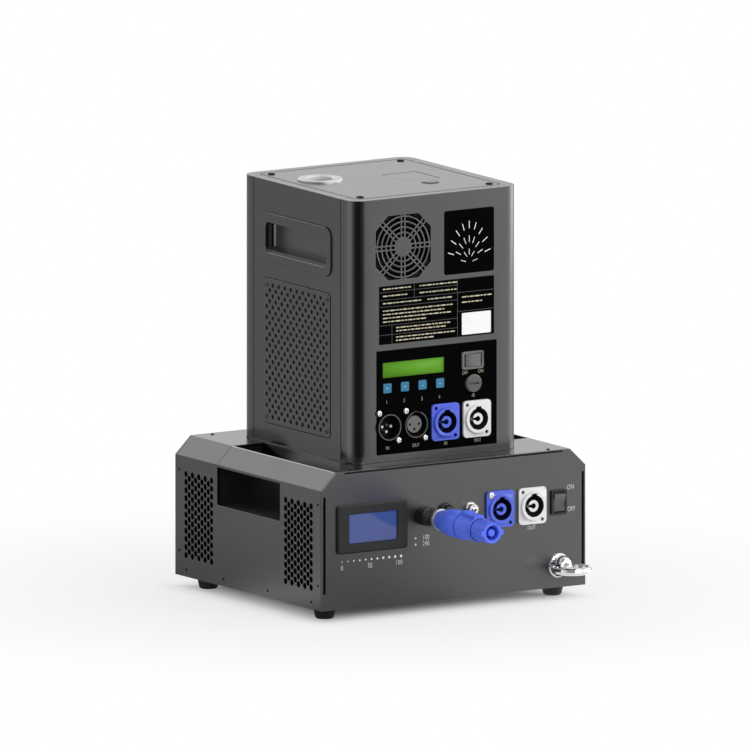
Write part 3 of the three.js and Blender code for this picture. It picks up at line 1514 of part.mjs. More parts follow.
// Quarter-turn latch: a slotted knob on top, a neck through the plate and a tongue below
function makeLatch() {
  const tongueTop = towerTop - sheet - (tongueDrop - tongueThickness);
  const knob = turned([
    [0, tongueTop - tongueThickness / 2], [knobNeckRadius, tongueTop - tongueThickness / 2],
    [knobNeckRadius, towerTop + seatGap], [knobRadius, towerTop + seatGap],
    [knobRadius, towerTop + seatGap + knobThickness - seatGap],
    [knobRadius - seatGap, towerTop + seatGap + knobThickness], [0, towerTop + seatGap + knobThickness],
  ]);
  const tongue = slab(
    roundedRect(tongueLength + tongueWidth, tongueWidth, tongueWidth / 2 - seatGap, tongueLength / 2, 0),
    tongueTop - tongueThickness, tongueTop,
  );
  const knobTop = towerTop + seatGap + knobThickness;
  const slot = block(
    -knobRadius - overrun, knobRadius + overrun, -knobSlotWidth / 2, knobSlotWidth / 2,
    knobTop - knobSlotDepth, knobTop + overrun,
  );
  piece(tower, 'hatch_latch', cut(join(knob, tongue), slot), 'steel').position.set(knobX, knobY, 0);
}

// Main board on stand-offs from the rear shell, with its choke, capacitors and heat sink
function makeMainBoard() {
  const front = -sheet - boardStandoff - boardThickness;
  const plate = slab(roundedRect(boardWidth, boardHeight, sheet), front, front + boardThickness, tinyCornerSteps);
  const postX = boardWidth / 2 - boardStandoffInset;
  const postY = boardHeight / 2 - boardStandoffInset;
  const posts = [[-postX, -postY], [postX, -postY], [postX, postY], [-postX, postY]].map(([x, y]) => drum(
    boardStandoffRadius, front + boardThickness / 2, -sheet - seatGap, x, y, tinySides,
  ));
  const mount = front + boardThickness / 2;
  const choke = block(
    -boardWidth / 4 - chokeSize, -boardWidth / 4, boardHeight / 6, boardHeight / 6 + chokeSize,
    mount - chokeSize, mount,
  );
  const capacitors = [0, 1, 2].map((i) => drum(
    capacitorRadius, mount - capacitorHeight, mount,
    (i - 1) * (2 * capacitorRadius + sheet) + boardWidth / 8, -boardHeight / 4, smallSides,
  ));
  const sink = block(
    -heatsinkWidth / 2, heatsinkWidth / 2, boardHeight / 2 - 2 * boardStandoffInset - heatsinkThickness,
    boardHeight / 2 - 2 * boardStandoffInset, mount - chokeSize, mount,
  );
  const board = join(plate, choke, sink, ...posts, ...capacitors);
  piece(towerRear, 'main_board', board, 'boardGreen').position.y = boardMiddleZ;
}

makeBaseCover();
makeGripPocket(-1, 'grip_pocket_left');
makeGripPocket(1, 'grip_pocket_right');
makeBasePlates();
makeFloorTray();
makeFeet();
makeBatteryPack();
makeInverter();
makeMeter();
makePowerSockets();
makeSwitches();
makeTestButton();
makeChargeJack();
makePlug();
makeEye();
makeTowerShells();
makeTowerFloor();
makeTopPlate();
makeVentPlates();
makeHandleCups();
makeFan();
makeControlPanel();
makeDisplay();
makeButtons();
makeFuseCap();
makeSignalSockets();
makeNozzle();
makeHopper();
makeFeedScrew();
makeFeedMotor();
makeHatch();
makeLatch();
makeMainBoard();

export default machine;
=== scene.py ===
# %% [markdown]
# # Dressing a spark machine
# The machine is a square steel tower that stands on a battery base. Its solids are already there as a
# fixed frame, in metres, with Z up. Each step below says what a piece or a finish is on the real
# object, how it could be made, and why it is made this way. Short code cells then make it.

# %% Load the frame
import json
import math
import bmesh
import bpy
from mathutils import Matrix, Vector

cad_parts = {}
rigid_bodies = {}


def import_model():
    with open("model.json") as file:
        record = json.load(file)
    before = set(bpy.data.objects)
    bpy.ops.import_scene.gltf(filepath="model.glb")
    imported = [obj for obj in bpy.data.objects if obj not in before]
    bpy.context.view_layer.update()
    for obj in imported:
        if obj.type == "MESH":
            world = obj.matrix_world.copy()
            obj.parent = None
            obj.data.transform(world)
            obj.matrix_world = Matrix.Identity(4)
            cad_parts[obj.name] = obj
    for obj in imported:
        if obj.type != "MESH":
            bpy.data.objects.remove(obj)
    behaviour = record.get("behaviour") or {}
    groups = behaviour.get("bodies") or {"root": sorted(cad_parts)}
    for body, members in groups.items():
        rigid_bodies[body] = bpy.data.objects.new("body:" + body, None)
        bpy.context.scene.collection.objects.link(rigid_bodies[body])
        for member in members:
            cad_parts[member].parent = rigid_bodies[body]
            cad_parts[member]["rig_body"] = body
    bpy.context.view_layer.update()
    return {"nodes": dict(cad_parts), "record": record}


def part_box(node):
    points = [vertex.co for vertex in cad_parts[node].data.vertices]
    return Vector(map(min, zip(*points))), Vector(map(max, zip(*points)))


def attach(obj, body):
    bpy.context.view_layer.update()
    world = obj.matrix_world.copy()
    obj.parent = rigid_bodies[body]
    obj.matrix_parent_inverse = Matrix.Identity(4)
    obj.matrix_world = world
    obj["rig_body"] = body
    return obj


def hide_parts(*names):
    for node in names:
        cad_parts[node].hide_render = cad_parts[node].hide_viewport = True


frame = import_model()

nodes = frame["nodes"]
MM = 0.001
middle_y = 54
print(len(nodes), "solids in the frame")

# %% [markdown]
# ## The camera
# All edges of one direction run parallel in the picture, so the camera is orthographic. It stands to the
# left of the front and a little above, and aims beside a point on the machine's upright middle line.
# That line lies 54 mm behind the frame's origin, because the plug reaches out in front.

# %% Set the camera
azimuth = math.radians(-32.361)
elevation = math.radians(9.446)
picture_right = Vector((math.cos(azimuth), math.sin(azimuth), 0))
picture_up = Vector((
    -math.sin(azimuth) * math.sin(elevation),
    math.cos(azimuth) * math.sin(elevation),
    math.cos(elevation),
))
toward_camera = picture_right.cross(picture_up)


def linked(name, data):
    piece = bpy.data.objects.new(name, data)
    bpy.context.scene.collection.objects.link(piece)
    return piece


aim = Vector((0, middle_y * MM, 0)) + picture_right * -4.417 * MM + picture_up * 180.03 * MM
camera_data = bpy.data.cameras.new("camera")
camera_data.type = "ORTHO"
camera_data.ortho_scale = 0.625
camera = linked("camera", camera_data)
turn = Matrix((picture_right, picture_up, toward_camera)).transposed()
camera.matrix_world = Matrix.Translation(aim + toward_camera * 3) @ turn.to_4x4()
bpy.context.scene.camera = camera
bpy.context.scene.view_settings.view_transform = "Standard"
print("camera looks from", [round(x, 2) for x in toward_camera])

# %% [markdown]
# ## Node sheets that read as arithmetic
# A material and a Geometry Nodes tree are both sheets of linked boxes. One small class stands for an
# output on such a sheet. Plain operators on it add Math nodes, so `1 - mask` means what it says. One
# method makes any other box: first its settings, then the values or links of its sockets.

# %% A wire and a sheet
def operator(operation, swap=False):
    return lambda wire, other: wire.maths(operation, *((other, wire) if swap else (wire, other)))


class Wire:
    def __init__(self, sheet, socket):
        self.sheet = sheet
        self.socket = socket

    def maths(self, operation, first, second=None):
        values = {0: first} if second is None else {0: first, 1: second}
        return self.sheet.box("ShaderNodeMath", {"operation": operation}, values)

    def __floordiv__(self, other):
        return self.maths("FLOOR", self / other)

    __add__ = __radd__ = operator("ADD")
    __mul__ = __rmul__ = operator("MULTIPLY")
    __sub__, __rsub__ = operator("SUBTRACT"), operator("SUBTRACT", swap=True)
    __truediv__, __mod__ = operator("DIVIDE"), operator("MODULO")
    __gt__, __lt__ = operator("GREATER_THAN"), operator("LESS_THAN")


class Sheet:
    def __init__(self, tree):
        self.tree = tree

    def box(self, kind, settings=None, values=None, output=0):
        made = self.tree.nodes.new(kind)
        for name, value in (settings or {}).items():
            setattr(made, name, value)
        for name, value in (values or {}).items():
            if isinstance(value, Wire):
                self.tree.links.new(value.socket, made.inputs[name])
            else:
                made.inputs[name].default_value = value
        return Wire(self, made.outputs[output]) if len(made.outputs) else made

    def dot(self, vector, axis):
        return self.box("ShaderNodeVectorMath", {"operation": "DOT_PRODUCT"}, {0: vector, 1: axis}, "Value")

    def mix(self, share, first, second):
        return self.box("ShaderNodeMix", {"data_type": "RGBA"}, {0: share, 6: first, 7: second}, 2)

    def fade(self, value, low, high):
        values = {"Value": value, "From Min": low, "From Max": high}
        return self.box("ShaderNodeMapRange", {"interpolation_type": "SMOOTHSTEP"}, values)

    def axis(self, name, place=None):
        split = self.box("ShaderNodeSeparateXYZ", None, {0: place or self.place})
        return Wire(self, split.socket.node.outputs[name])


def rgb(*parts):
    return (*parts, 1) if len(parts) == 3 else (parts[0], parts[0], parts[0], 1)


def tint(colour, factor, more=0):
    return rgb(*[min(1, part * factor + more) for part in colour])


# %% [markdown]
# ## Finishes
# Every finish has the same bones: a Principled shader, a colour that varies a little, and a bump that
# holds the real surface's grain. The grain's size is in metres, because the patterns read Object
# coordinates, and every finished piece sits at the origin.

# %% The bones of a finish
class Finish(Sheet):
    def __init__(self, name, **constants):
        self.material = bpy.data.materials.new(name)
        self.material.use_nodes = True
        super().__init__(self.material.node_tree)
        self.shader = self.tree.nodes["Principled BSDF"]
        for socket, value in constants.items():
            self.shader.inputs[socket.replace("_", " ")].default_value = value
        self.place = self.box("ShaderNodeTexCoord", output="Object")

    def noise(self, grain, detail=2.0, roughness=0.5, place=None):
        values = {"Vector": place or self.place, "Scale": 1 / grain, "Detail": detail, "Roughness": roughness}
        return self.box("ShaderNodeTexNoise", {"noise_dimensions": "3D"}, values)

    def feed(self, socket, wire):
        self.tree.links.new(wire.socket, self.shader.inputs[socket])

    def bump(self, height, depth, strength=1.0, over=None):
        values = {"Height": height, "Distance": depth, "Strength": strength}
        if over:
            values["Normal"] = over
        return self.box("ShaderNodeBump", None, values)

    def worn_edges(self, radius):
        rounded = self.box("ShaderNodeBevel", {"samples": 4}, {"Radius": radius})
        plain = self.box("ShaderNodeNewGeometry", output="Normal")
        return rounded, 1 - self.dot(rounded, plain)


# %% [markdown]
# ### Satin paint on steel
# The housing is folded steel with a dark grey satin paint that holds a little metal flake. A flake is
# finer than a pixel, so it only breaks up the sheen: a fine noise moves roughness, a broad one moves
# the colour, and a shallow bump gives the orange peel of sprayed paint. Along folds and cut edges the
# colour is lighter, partly a thinner film and partly a painted highlight of the rounded edge. The front
# sheet of the base has a coarser coat, the handle cups a duller one, and the hems of the grips carry a
# light paint, a painted highlight along the fold.
#
# The foot of the tower's side sheets flares out a little, which turns its sheen away from the slot
# below: a bump whose height grows as the square of the way down gives that curve. The backs of the
# grips turn black toward the rear, a painted shade of the pocket's depth.

# %% Mix the paint
PAINTED_SHADE = 0.006
FLARE_TOP = 142 * MM
FLARE = 6.7


def satin_paint(name, shade, roughness, flakes=0.97, flared=False, shaded=False):
    paint = Finish(name, Metallic=flakes, Specular_IOR_Level=0.5)
    clouds = paint.noise(60 * MM, 3)
    flake = paint.noise(0.35 * MM, 2)
    peel = paint.noise(1.6 * MM, 2)
    rounded, edge = paint.worn_edges(0.6 * MM)
    body = paint.mix(clouds, rgb(shade * 0.93), rgb(shade * 1.07))
    body = paint.mix(flake * 0.3, body, rgb(shade * 1.8))
    # Lighter edges: partly a thinner film, partly a painted highlight of the rounded edge.
    body = paint.mix(edge * 0.8, body, rgb(shade * 3.5))
    # Painted shade: toward the rear of the grip backs the colour turns black.
    if shaded:
        unshaded_share = paint.fade(paint.axis("Y"), 74 * MM, 38 * MM)
        body = paint.mix(unshaded_share, rgb(PAINTED_SHADE), body)
    if flared:
        ahead = paint.fade(paint.axis("Y"), 90 * MM, 54 * MM)
        below = paint.axis("Z") * -1 + FLARE_TOP
        below = below.maths("MAXIMUM", below, 0)
        rounded = paint.bump(below * below * ahead * FLARE, 1, over=rounded)
    paint.feed("Base Color", body)
    paint.feed("Roughness", roughness + flake * 0.12 - 0.06 + clouds * 0.04)
    paint.feed("Normal", paint.bump(peel * 0.7 + flake * 0.3, 0.02 * MM, 0.6, rounded))
    return paint.material


paint = satin_paint("satin_paint", 0.1, 0.19)
flared_paint = satin_paint("flared_paint", 0.1, 0.19, flared=True)
shaded_paint = satin_paint("shaded_paint", 0.1, 0.19, shaded=True)
panel_paint = satin_paint("panel_paint", 0.1, 0.33)
cup_paint = satin_paint("cup_paint", 0.085, 0.3, 0.35)
bare_edge = satin_paint("bare_edge", 0.28, 0.2)
worn_paint = satin_paint("worn_paint", 0.2, 0.3, 0.6)
print("mixed", paint.name, cup_paint.name, bare_edge.name)

# %% [markdown]
# ### Moulded plastic and rubber
# Sockets, keys, switch parts and feet are moulded. A moulding has one faintly clouded colour all
# through, lighter at its edges as a painted highlight, and a spark-eroded grain that dulls its sheen.
# One function serves them all.

# %% Mould the plastics
def moulding(name, colour, roughness, grain=0.5 * MM, depth=0.015 * MM, gloss=0.5):
    plastic = Finish(name, Specular_IOR_Level=gloss)
    clouds = plastic.noise(12 * MM, 2)
    texture = plastic.noise(grain, 3)
    rounded, edge = plastic.worn_edges(0.35 * MM)
    body = plastic.mix(clouds, tint(colour, 0.9), tint(colour, 1.06))
    # Lighter edges are a painted highlight of the rounded edge.
    plastic.feed("Base Color", plastic.mix(edge * 0.5, body, tint(colour, 1.3, 0.02)))
    plastic.feed("Roughness", roughness + texture * 0.14 - 0.07)
    plastic.feed("Normal", plastic.bump(texture, depth, over=rounded))
    return plastic.material


black_plastic = moulding("black_plastic", (0.012, 0.012, 0.013), 0.38)
dark_plastic = moulding("dark_grey_plastic", (0.02, 0.02, 0.021), 0.45, gloss=0.3)
rocker_plastic = moulding("rocker_plastic", (0.075, 0.075, 0.076), 0.36)
frame_plastic = moulding("frame_plastic", (0.13, 0.13, 0.133), 0.4)
grey_plastic = moulding("grey_plastic", (0.14, 0.14, 0.143), 0.38)
cap_plastic = moulding("cap_plastic", (0.085, 0.085, 0.087), 0.42)
blue_plastic = moulding("blue_plastic", (0.08, 0.13, 0.7), 0.4)
plug_plastic = moulding("plug_plastic", (0.092, 0.17, 0.92), 0.42)
well_blue = moulding("well_blue", (0.006, 0.01, 0.06), 0.5, gloss=0.2)
bore_blue = moulding("bore_blue", (0.02, 0.035, 0.21), 0.5, gloss=0.2)
well_grey = moulding("well_grey", (0.03, 0.03, 0.03), 0.5, gloss=0.2)
white_plastic = moulding("white_plastic", (0.78, 0.78, 0.77), 0.36)
key_plastic = moulding("key_plastic", (0.015, 0.17, 0.31), 0.34)
liner_black = moulding("liner_black", (0.008, 0.008, 0.008), 0.6, gloss=0.12)
rubber = moulding("foot_rubber", (0.012, 0.012, 0.012), 0.7, 0.9 * MM, 0.05 * MM)
panel_foil = moulding("panel_foil", (0.0025, 0.0025, 0.0026), 0.5, 0.3 * MM, 0.006 * MM, 0)
print("moulded", 16, "finishes")

# %% [markdown]
# ### Metals
# Chrome is almost a mirror, with faint clouds of wiping. Steel and aluminium inside are brushed or
# bead blasted: a stretched noise gives the strokes.

# %% Plate and brush the metals
def bare_metal(name, colour, roughness, stretch=(1, 1, 1), grain=0.4 * MM):
    metal = Finish(name, Metallic=1.0)
    strokes = metal.box("ShaderNodeMapping", None, {"Vector": metal.place, "Scale": stretch})
    brushed = metal.noise(grain, 3, place=strokes)
    wiped = metal.noise(9 * MM, 3)
    metal.feed("Base Color", metal.mix(brushed * 0.5 + wiped * 0.3, tint(colour, 1), tint(colour, 0.8)))
    metal.feed("Roughness", roughness + wiped * 0.08 + brushed * roughness * 0.5)
    metal.feed("Normal", metal.bump(brushed, 0.004 * MM))
    return metal.material


chrome = bare_metal("chrome", (0.82, 0.82, 0.83), 0.04)
steel = bare_metal("brushed_steel", (0.5, 0.5, 0.51), 0.3, (1, 1, 0.1))
aluminium = bare_metal("blasted_aluminium", (0.68, 0.68, 0.69), 0.34)
satin_chrome = bare_metal("satin_chrome", (0.9, 0.9, 0.91), 0.24)
print("plated", chrome.name, steel.name, aluminium.name)

# %% [markdown]
# ### Screens, board and cells
# The green display is a lit film behind plastic, with a faint grid of cells. The blue screen has a
# deeper blue corner behind a wavy edge, a painted reflection in its clear cover.

# %% Light the screens
def screen_film(name, colour, glow, cell, gloss, reflected_corner=None):
    film = Finish(name, Specular_IOR_Level=gloss)
    spots = film.noise(8 * MM, 2)
    values = {"Vector": film.place, "Scale": 0.3142 / cell}
    wave = film.box("ShaderNodeTexWave", {"bands_direction": "X"}, values)
    body = film.mix(spots * 0.3 + wave * 0.1, tint(colour, 1), tint(colour, 0.75))
    # Painted reflection: a deeper blue corner behind a wavy edge.
    if reflected_corner:
        across = film.dot(film.place, Vector((0.55, 0, 1)) / MM) + film.noise(26 * MM, 1) * 9
        step = film.box("ShaderNodeMapRange", None, {"Value": across, "From Min": 48, "From Max": 48.8})
        body = film.mix(step, body, rgb(*reflected_corner))
    film.feed("Base Color", body)
    film.feed("Emission Color", body)
    film.shader.inputs["Emission Strength"].default_value = glow
    film.feed("Roughness", 0.3 + spots * 0.1)
    return film.material


green_film = screen_film("green_film", (0.11, 0.31, 0.025), 0.16, 1 * MM, 0.05)
blue_film = screen_film("blue_film", (0.085, 0.11, 0.28), 0.12, 1 * MM, 0.1, (0.04, 0.075, 0.26))
board_green = moulding("board_resist", (0.015, 0.11, 0.04), 0.35)
cell_wrap = moulding("cell_wrap", (0.02, 0.07, 0.2), 0.35)
ink = moulding("white_ink", (0.9, 0.9, 0.9), 0.5)
warm_ink = moulding("warm_ink", (0.62, 0.57, 0.4), 0.5)
grey_ink = moulding("grey_ink", (0.16, 0.16, 0.16), 0.5)
print("lit the screens")

# %% [markdown]
# ## Carrying the solids over
# A solid of the frame is a loose heap of triangles. A copy stands for it: its doubles are merged, flat
# regions become single faces, and shading is smooth up to a limit angle, so that turned pieces look
# round and folds stay crisp. Nothing moves or grows. Only the knob of the hatch latch is pressed lower.

# %% Copy a solid
def as_mesh(sheet, name):
    mesh = bpy.data.meshes.new(name)
    sheet.to_mesh(mesh)
    sheet.free()
    return mesh


def solid_copy(node):
    sheet = bmesh.new()
    sheet.from_mesh(nodes[node].data)
    bmesh.ops.remove_doubles(sheet, verts=sheet.verts, dist=0.004 * MM)
    return as_mesh(sheet, node + "_skin")


def softened(mesh, angle):
    mesh.shade_smooth()
    mesh.set_sharp_from_angle(angle=math.radians(angle))
    return mesh


def smoothed(mesh):
    sheet = bmesh.new()
    sheet.from_mesh(mesh)
    bmesh.ops.dissolve_limit(sheet, angle_limit=math.radians(0.5), verts=sheet.verts, edges=sheet.edges)
    sheet.to_mesh(mesh)
    sheet.free()
    return softened(mesh, 38)


def stands_for(node, mesh, finish):
    piece = linked(node + "_skin", mesh)
    mesh.materials.clear()
    mesh.materials.append(finish)
    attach(piece, nodes[node]["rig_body"])
    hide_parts(node)
    return piece


slot_of = {part["node"]: part["material_slot"] for part in frame["record"]["subparts"]}
slot_of["hatch_latch"] = "paint"

# %% Say which finish each solid gets
finishes = {
    paint: [
        "base_rear_panel", "base_floor",
        "tower_front_shell", "tower_rear_shell", "tower_floor", "tower_top_plate", "hatch_lid", "hatch_latch",
    ],
    flared_paint: ["tower_left_panel", "tower_right_panel"],
    panel_paint: ["base_front_panel"],
    cup_paint: ["handle_cup_left", "handle_cup_right"],
    # The grip pockets are black inside: painted shade of their depth.
    liner_black: ["grip_pocket_left", "grip_pocket_right", "fan_frame", "fan_rotor"],
    rubber: ["foot_front_left", "foot_front_right", "foot_rear_left", "foot_rear_right"],
    cell_wrap: ["battery_pack"],
    dark_plastic: ["meter_bezel", "base_switch_frame"],
    rocker_plastic: ["base_rocker"],
    blue_film: ["meter_screen"],
    blue_plastic: ["base_power_inlet", "tower_power_inlet"],
    plug_plastic: ["plug_body", "plug_latch"],
    white_plastic: ["base_power_outlet", "tower_power_outlet"],
    frame_plastic: ["tower_switch_frame"],
    grey_plastic: ["tower_rocker"],
    cap_plastic: ["fuse_cap"],
    black_plastic: [
        "test_button_collar", "test_button", "output_gland",
        "signal_in_socket", "signal_out_socket", "feed_motor",
    ],
    chrome: ["eye_mount", "eye_ring", "charge_jack"],
    satin_chrome: ["coupling_ring"],
    steel: ["heating_chamber", "hopper", "feed_screw"],
    aluminium: ["inverter_unit", "nozzle_ring"],
    panel_foil: ["control_panel"],
    green_film: ["display"],
    key_plastic: ["menu_button_1", "menu_button_2", "menu_button_3", "menu_button_4"],
    board_green: ["main_board"],
}
skins = {}
for finish, group in finishes.items():
    for node in group:
        skins[node] = stands_for(node, smoothed(solid_copy(node)), finish)
lid_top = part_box("hatch_lid")[1].z
for vertex in skins["hatch_latch"].data.vertices:
    vertex.co.z = min(vertex.co.z, lid_top + (vertex.co.z - lid_top) * 0.4)
print(len(skins), "solids carried over")

# %% [markdown]
# ### Two finishes on one solid
# Some solids stand for a moulding with inserts: one signal socket has plated pins and the other a grey
# insert, and the nozzle is lined with white ceramic. Other regions stand for light and shade: the wells
# and bores of the power sockets and the sunk end of the switch are dark, painted shade. Each face is
# asked whether all its corners lie in such a region, and gets the second finish if they do. The side
# faces of the keys are black, painted shade, and the end walls of the handle cups are a lighter grey,
# painted light.

# %% Give regions their own finish
SIDES = ((-1, "left"), (1, "right"))


def box_of(node):
    return [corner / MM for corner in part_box(node)]


def refinish(node, finish, chosen):
    mesh = skins[node].data
    mesh.materials.append(finish)
    faces = [face for face in mesh.polygons if chosen(face)]
    for face in faces:
        face.material_index = len(mesh.materials) - 1
    return len(faces)


def second_finish(node, finish, lies_in):
    spots = skins[node].data.vertices
    return refinish(node, finish, lambda face: all(lies_in(*(spots[i].co / MM)) for i in face.vertices))


def axis_and_front(node):
    low, high = box_of(node)
    mid_x, mid_z = (low.x + high.x) / 2, (low.z + high.z) / 2
    return lambda x, y, z: math.hypot(x - mid_x, z - mid_z), low.y


# Painted shade: the wells and bores of the power sockets get dark finishes.
for node, dark, deepest in (
    ("base_power_inlet", well_blue, bore_blue), ("tower_power_inlet", well_blue, bore_blue),
    ("base_power_outlet", well_grey, liner_black), ("tower_power_outlet", well_grey, liner_black),
):
    off_axis, face_y = axis_and_front(node)
    wall = second_finish(node, dark, lambda x, y, z: 4.9 < off_axis(x, y, z) < 10.8 and y < face_y + 24)
    bore = second_finish(node, deepest, lambda *at: off_axis(*at) < 2.5)
    print(node, wall, "well faces", bore, "bore faces")
for node in ("signal_in_socket", "signal_out_socket"):
    off_axis, face_y = axis_and_front(node)
    second_finish(node, liner_black, lambda *at: off_axis(*at) < 10.5)
    if node == "signal_in_socket":
        for dx, dz in ((4.3, 0), (-4.3, 0), (0, -4.3)):
            pins = second_finish(node, aluminium, lambda x, y, z: off_axis(x - dx, y, z - dz) < 1.5)
    else:
        insert = second_finish(
            node, grey_plastic, lambda x, y, z: off_axis(x, y, z) < 7.5 and abs(y - face_y - 3.6) < 0.1)
    second_finish(node, cap_plastic, lambda x, y, z: y < face_y + 0.1)
low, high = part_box("nozzle_ring")
nozzle_x, nozzle_y = ((low[i] + high[i]) / 2 / MM for i in (0, 1))
second_finish("nozzle_ring", white_plastic, lambda x, y, z: math.hypot(x - nozzle_x, y - nozzle_y) < 13)
# Painted shade: the sunk end of the switch is black.
rocker_low = box_of("tower_rocker")[0].x
second_finish("tower_rocker", liner_black, lambda x, y, z: x < rocker_low + 2.2)
off_axis, face_y = axis_and_front("fuse_cap")
second_finish("fuse_cap", frame_plastic, lambda x, y, z: off_axis(x, y, z) > 6.5 and y < face_y + 1)
# Painted shade: the side and back faces of the keys are black.
for number in range(1, 5):
    node = "menu_button_%d" % number
    spots, behind = skins[node].data.vertices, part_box(node)[0].y + 1 * MM
    refinish(node, liner_black, lambda face: abs(face.normal.y) < 0.5
             or all(spots[i].co.y > behind for i in face.vertices))
# Painted light: the end walls of the handle cups are a lighter grey than their paint.
for side, way in SIDES:
    refinish("handle_cup_" + way, grey_plastic,
             lambda face: abs(face.normal.y) > 0.6 and abs(face.center.x) < 81 * MM)
print(pins, "faces on a pin and", insert, "on the insert")

# %% [markdown]
# ## A rule that repeats
# Perforations, screws and ribs are one small shape repeated by a rule, which is what Geometry Nodes are
# for. A rule is a node tree with named inputs. Its result is turned into a plain mesh at once, so that
# the finished piece carries no modifier.

# %% A tree with named inputs
def evaluated(holder):
    bpy.context.view_layer.update()
    seen = holder.evaluated_get(bpy.context.evaluated_depsgraph_get())
    mesh = bpy.data.meshes.new_from_object(seen)
    bpy.data.objects.remove(holder)
    return mesh


class Rule(Sheet):
    def __init__(self, name, inputs):
        super().__init__(bpy.data.node_groups.new(name, "GeometryNodeTree"))
        interface = self.tree.interface
        for way in ("INPUT", "OUTPUT"):
            interface.new_socket("Geometry", in_out=way, socket_type="NodeSocketGeometry")
        for label, kind in {**inputs, "Finish": "Material"}.items():
            interface.new_socket(label, in_out="INPUT", socket_type="NodeSocket" + kind)
        self.start = self.tree.nodes.new("NodeGroupInput")

    def given(self, label):
        return Wire(self, self.start.outputs[label])

    def close(self, geometry):
        real = self.box("GeometryNodeRealizeInstances", None, {0: geometry})
        values = {"Geometry": real, "Material": self.given("Finish")}
        painted = self.box("GeometryNodeSetMaterial", None, values)
        end = self.tree.nodes.new("NodeGroupOutput")
        self.tree.links.new(painted.socket, end.inputs[0])

    def made_from(self, mesh, **values):
        holder = linked("holder", mesh)
        modifier = holder.modifiers.new("rule", "NODES")
        modifier.node_group = self.tree
        items = self.tree.interface.items_tree
        sockets = {item.name: item.identifier for item in items if item.in_out == "INPUT"}
        for label, value in values.items():
            modifier[sockets[label.replace("_", " ")]] = value
        return evaluated(holder)


# %% [markdown]
# ### Punched holes
# The side walls of the base and the plates on the tower are punched with round holes in a staggered
# grid. Dots in a texture would look flat from the side, so the holes are cut for real: the rule lays a
# grid of points, shifts every other column by half a pitch and drops its last point, and can leave the
# corners to the screws. It stands a cylinder on each point, turns the lot sideways and takes it out of
# the sheet. The tower's plates are thin, so they are pressed to less than half their solids' thickness,
# and the walls of their holes are black, painted shade.

# %% The rule for a punched sheet
punched = Rule("punched_sheet", {
    "Centre": "Vector", "Columns": "Int", "Rows": "Int", "Column Pitch": "Float", "Row Pitch": "Float",
    "Hole Radius": "Float", "Reach": "Float", "Hole Sides": "Int", "Bare Corners": "Int",
})
given = punched.given
columns, rows, column_pitch, row_pitch = map(given, ("Columns", "Rows", "Column Pitch", "Row Pitch"))
grid = punched.box("GeometryNodeMeshGrid", None, {
    "Vertices X": columns, "Vertices Y": rows,
    "Size X": (columns - 1) * column_pitch, "Size Y": (rows - 1) * row_pitch,
})
index = punched.box("GeometryNodeInputIndex")
column, row = index // rows, index % rows
odd = column % 2
outer_column = (column < 0.5) + (column > columns - 1.5)
outer_row = (row < 0.5) + (row > rows - 1.5)
drop = odd * (row > rows - 1.5) + outer_column * outer_row * given("Bare Corners")
shift = punched.box("ShaderNodeCombineXYZ", None, {"Y": odd * row_pitch * 0.5})
shifted = punched.box("GeometryNodeSetPosition", None, {"Geometry": grid, "Offset": shift})
kept = punched.box(
    "GeometryNodeDeleteGeometry", {"domain": "POINT"}, {"Geometry": shifted, "Selection": drop})
drill = punched.box("GeometryNodeMeshCylinder", None, {
    "Vertices": given("Hole Sides"), "Radius": given("Hole Radius"), "Depth": given("Reach"),
})
drills = punched.box("GeometryNodeInstanceOnPoints", None, {"Points": kept, "Instance": drill})
solid_drills = punched.box("GeometryNodeRealizeInstances", None, {0: drills})
sideways = punched.box("GeometryNodeTransform", None, {
    "Geometry": solid_drills, "Translation": given("Centre"),
    "Rotation": (math.pi / 2, 0, math.pi / 2),
})
punched.close(punched.box("GeometryNodeMeshBoolean", {"operation": "DIFFERENCE", "solver": "MANIFOLD"}, {
    "Mesh 1": given("Geometry"), "Mesh 2": sideways,
}))

# %% Punch the base cover and the tower's plates
TOWER_SIDE = 82
VENT_HEIGHT = 204.5
PRESSED = 0.4
HOLE_GROUPS = (middle_y - 77.55, middle_y + 77.55)
HOLE_HEIGHT = 62.4
cover = solid_copy("base_cover")
for y in HOLE_GROUPS:
    cover = punched.made_from(
        cover, Centre=Vector((0, y, HOLE_HEIGHT)) * MM, Columns=9, Rows=11,
        Column_Pitch=4.96 * MM, Row_Pitch=6.85 * MM, Hole_Radius=2.75 * MM, Reach=280 * MM,
        Hole_Sides=14, Bare_Corners=0, Finish=paint,
    )
skins["base_cover"] = stands_for("base_cover", smoothed(cover), paint)
for side, way in SIDES:
    node = "vent_plate_" + way
    plate = punched.made_from(
        solid_copy(node), Centre=Vector((side * 82.6, middle_y, VENT_HEIGHT)) * MM, Columns=21, Rows=13,
        Column_Pitch=4.655 * MM, Row_Pitch=9.27 * MM, Hole_Radius=2 * MM, Reach=8 * MM,
        Hole_Sides=12, Bare_Corners=1, Finish=paint,
    )
    to_wall = Matrix.Translation((side * TOWER_SIDE * MM, 0, 0))
    plate.transform(to_wall @ Matrix.Diagonal((PRESSED, 1, 1, 1)) @ to_wall.inverted())
    skins[node] = stands_for(node, smoothed(plate), paint)
    # Painted shade: the walls of the holes are black.
    refinish(node, liner_black, lambda face: abs(face.normal.x) < 0.5)
print("punched", len(cover.polygons), "faces in the base cover")

# %% [markdown]
# ## Screws
# The sheets are held by small cross-slotted screws. One head is a skin swept through rings of points:
# from its rim up over a low dome and down into the slot, where the ring takes the shape of a cross. A
# rule stands a copy on every point of a list, turned the way that the point's own arrow says.

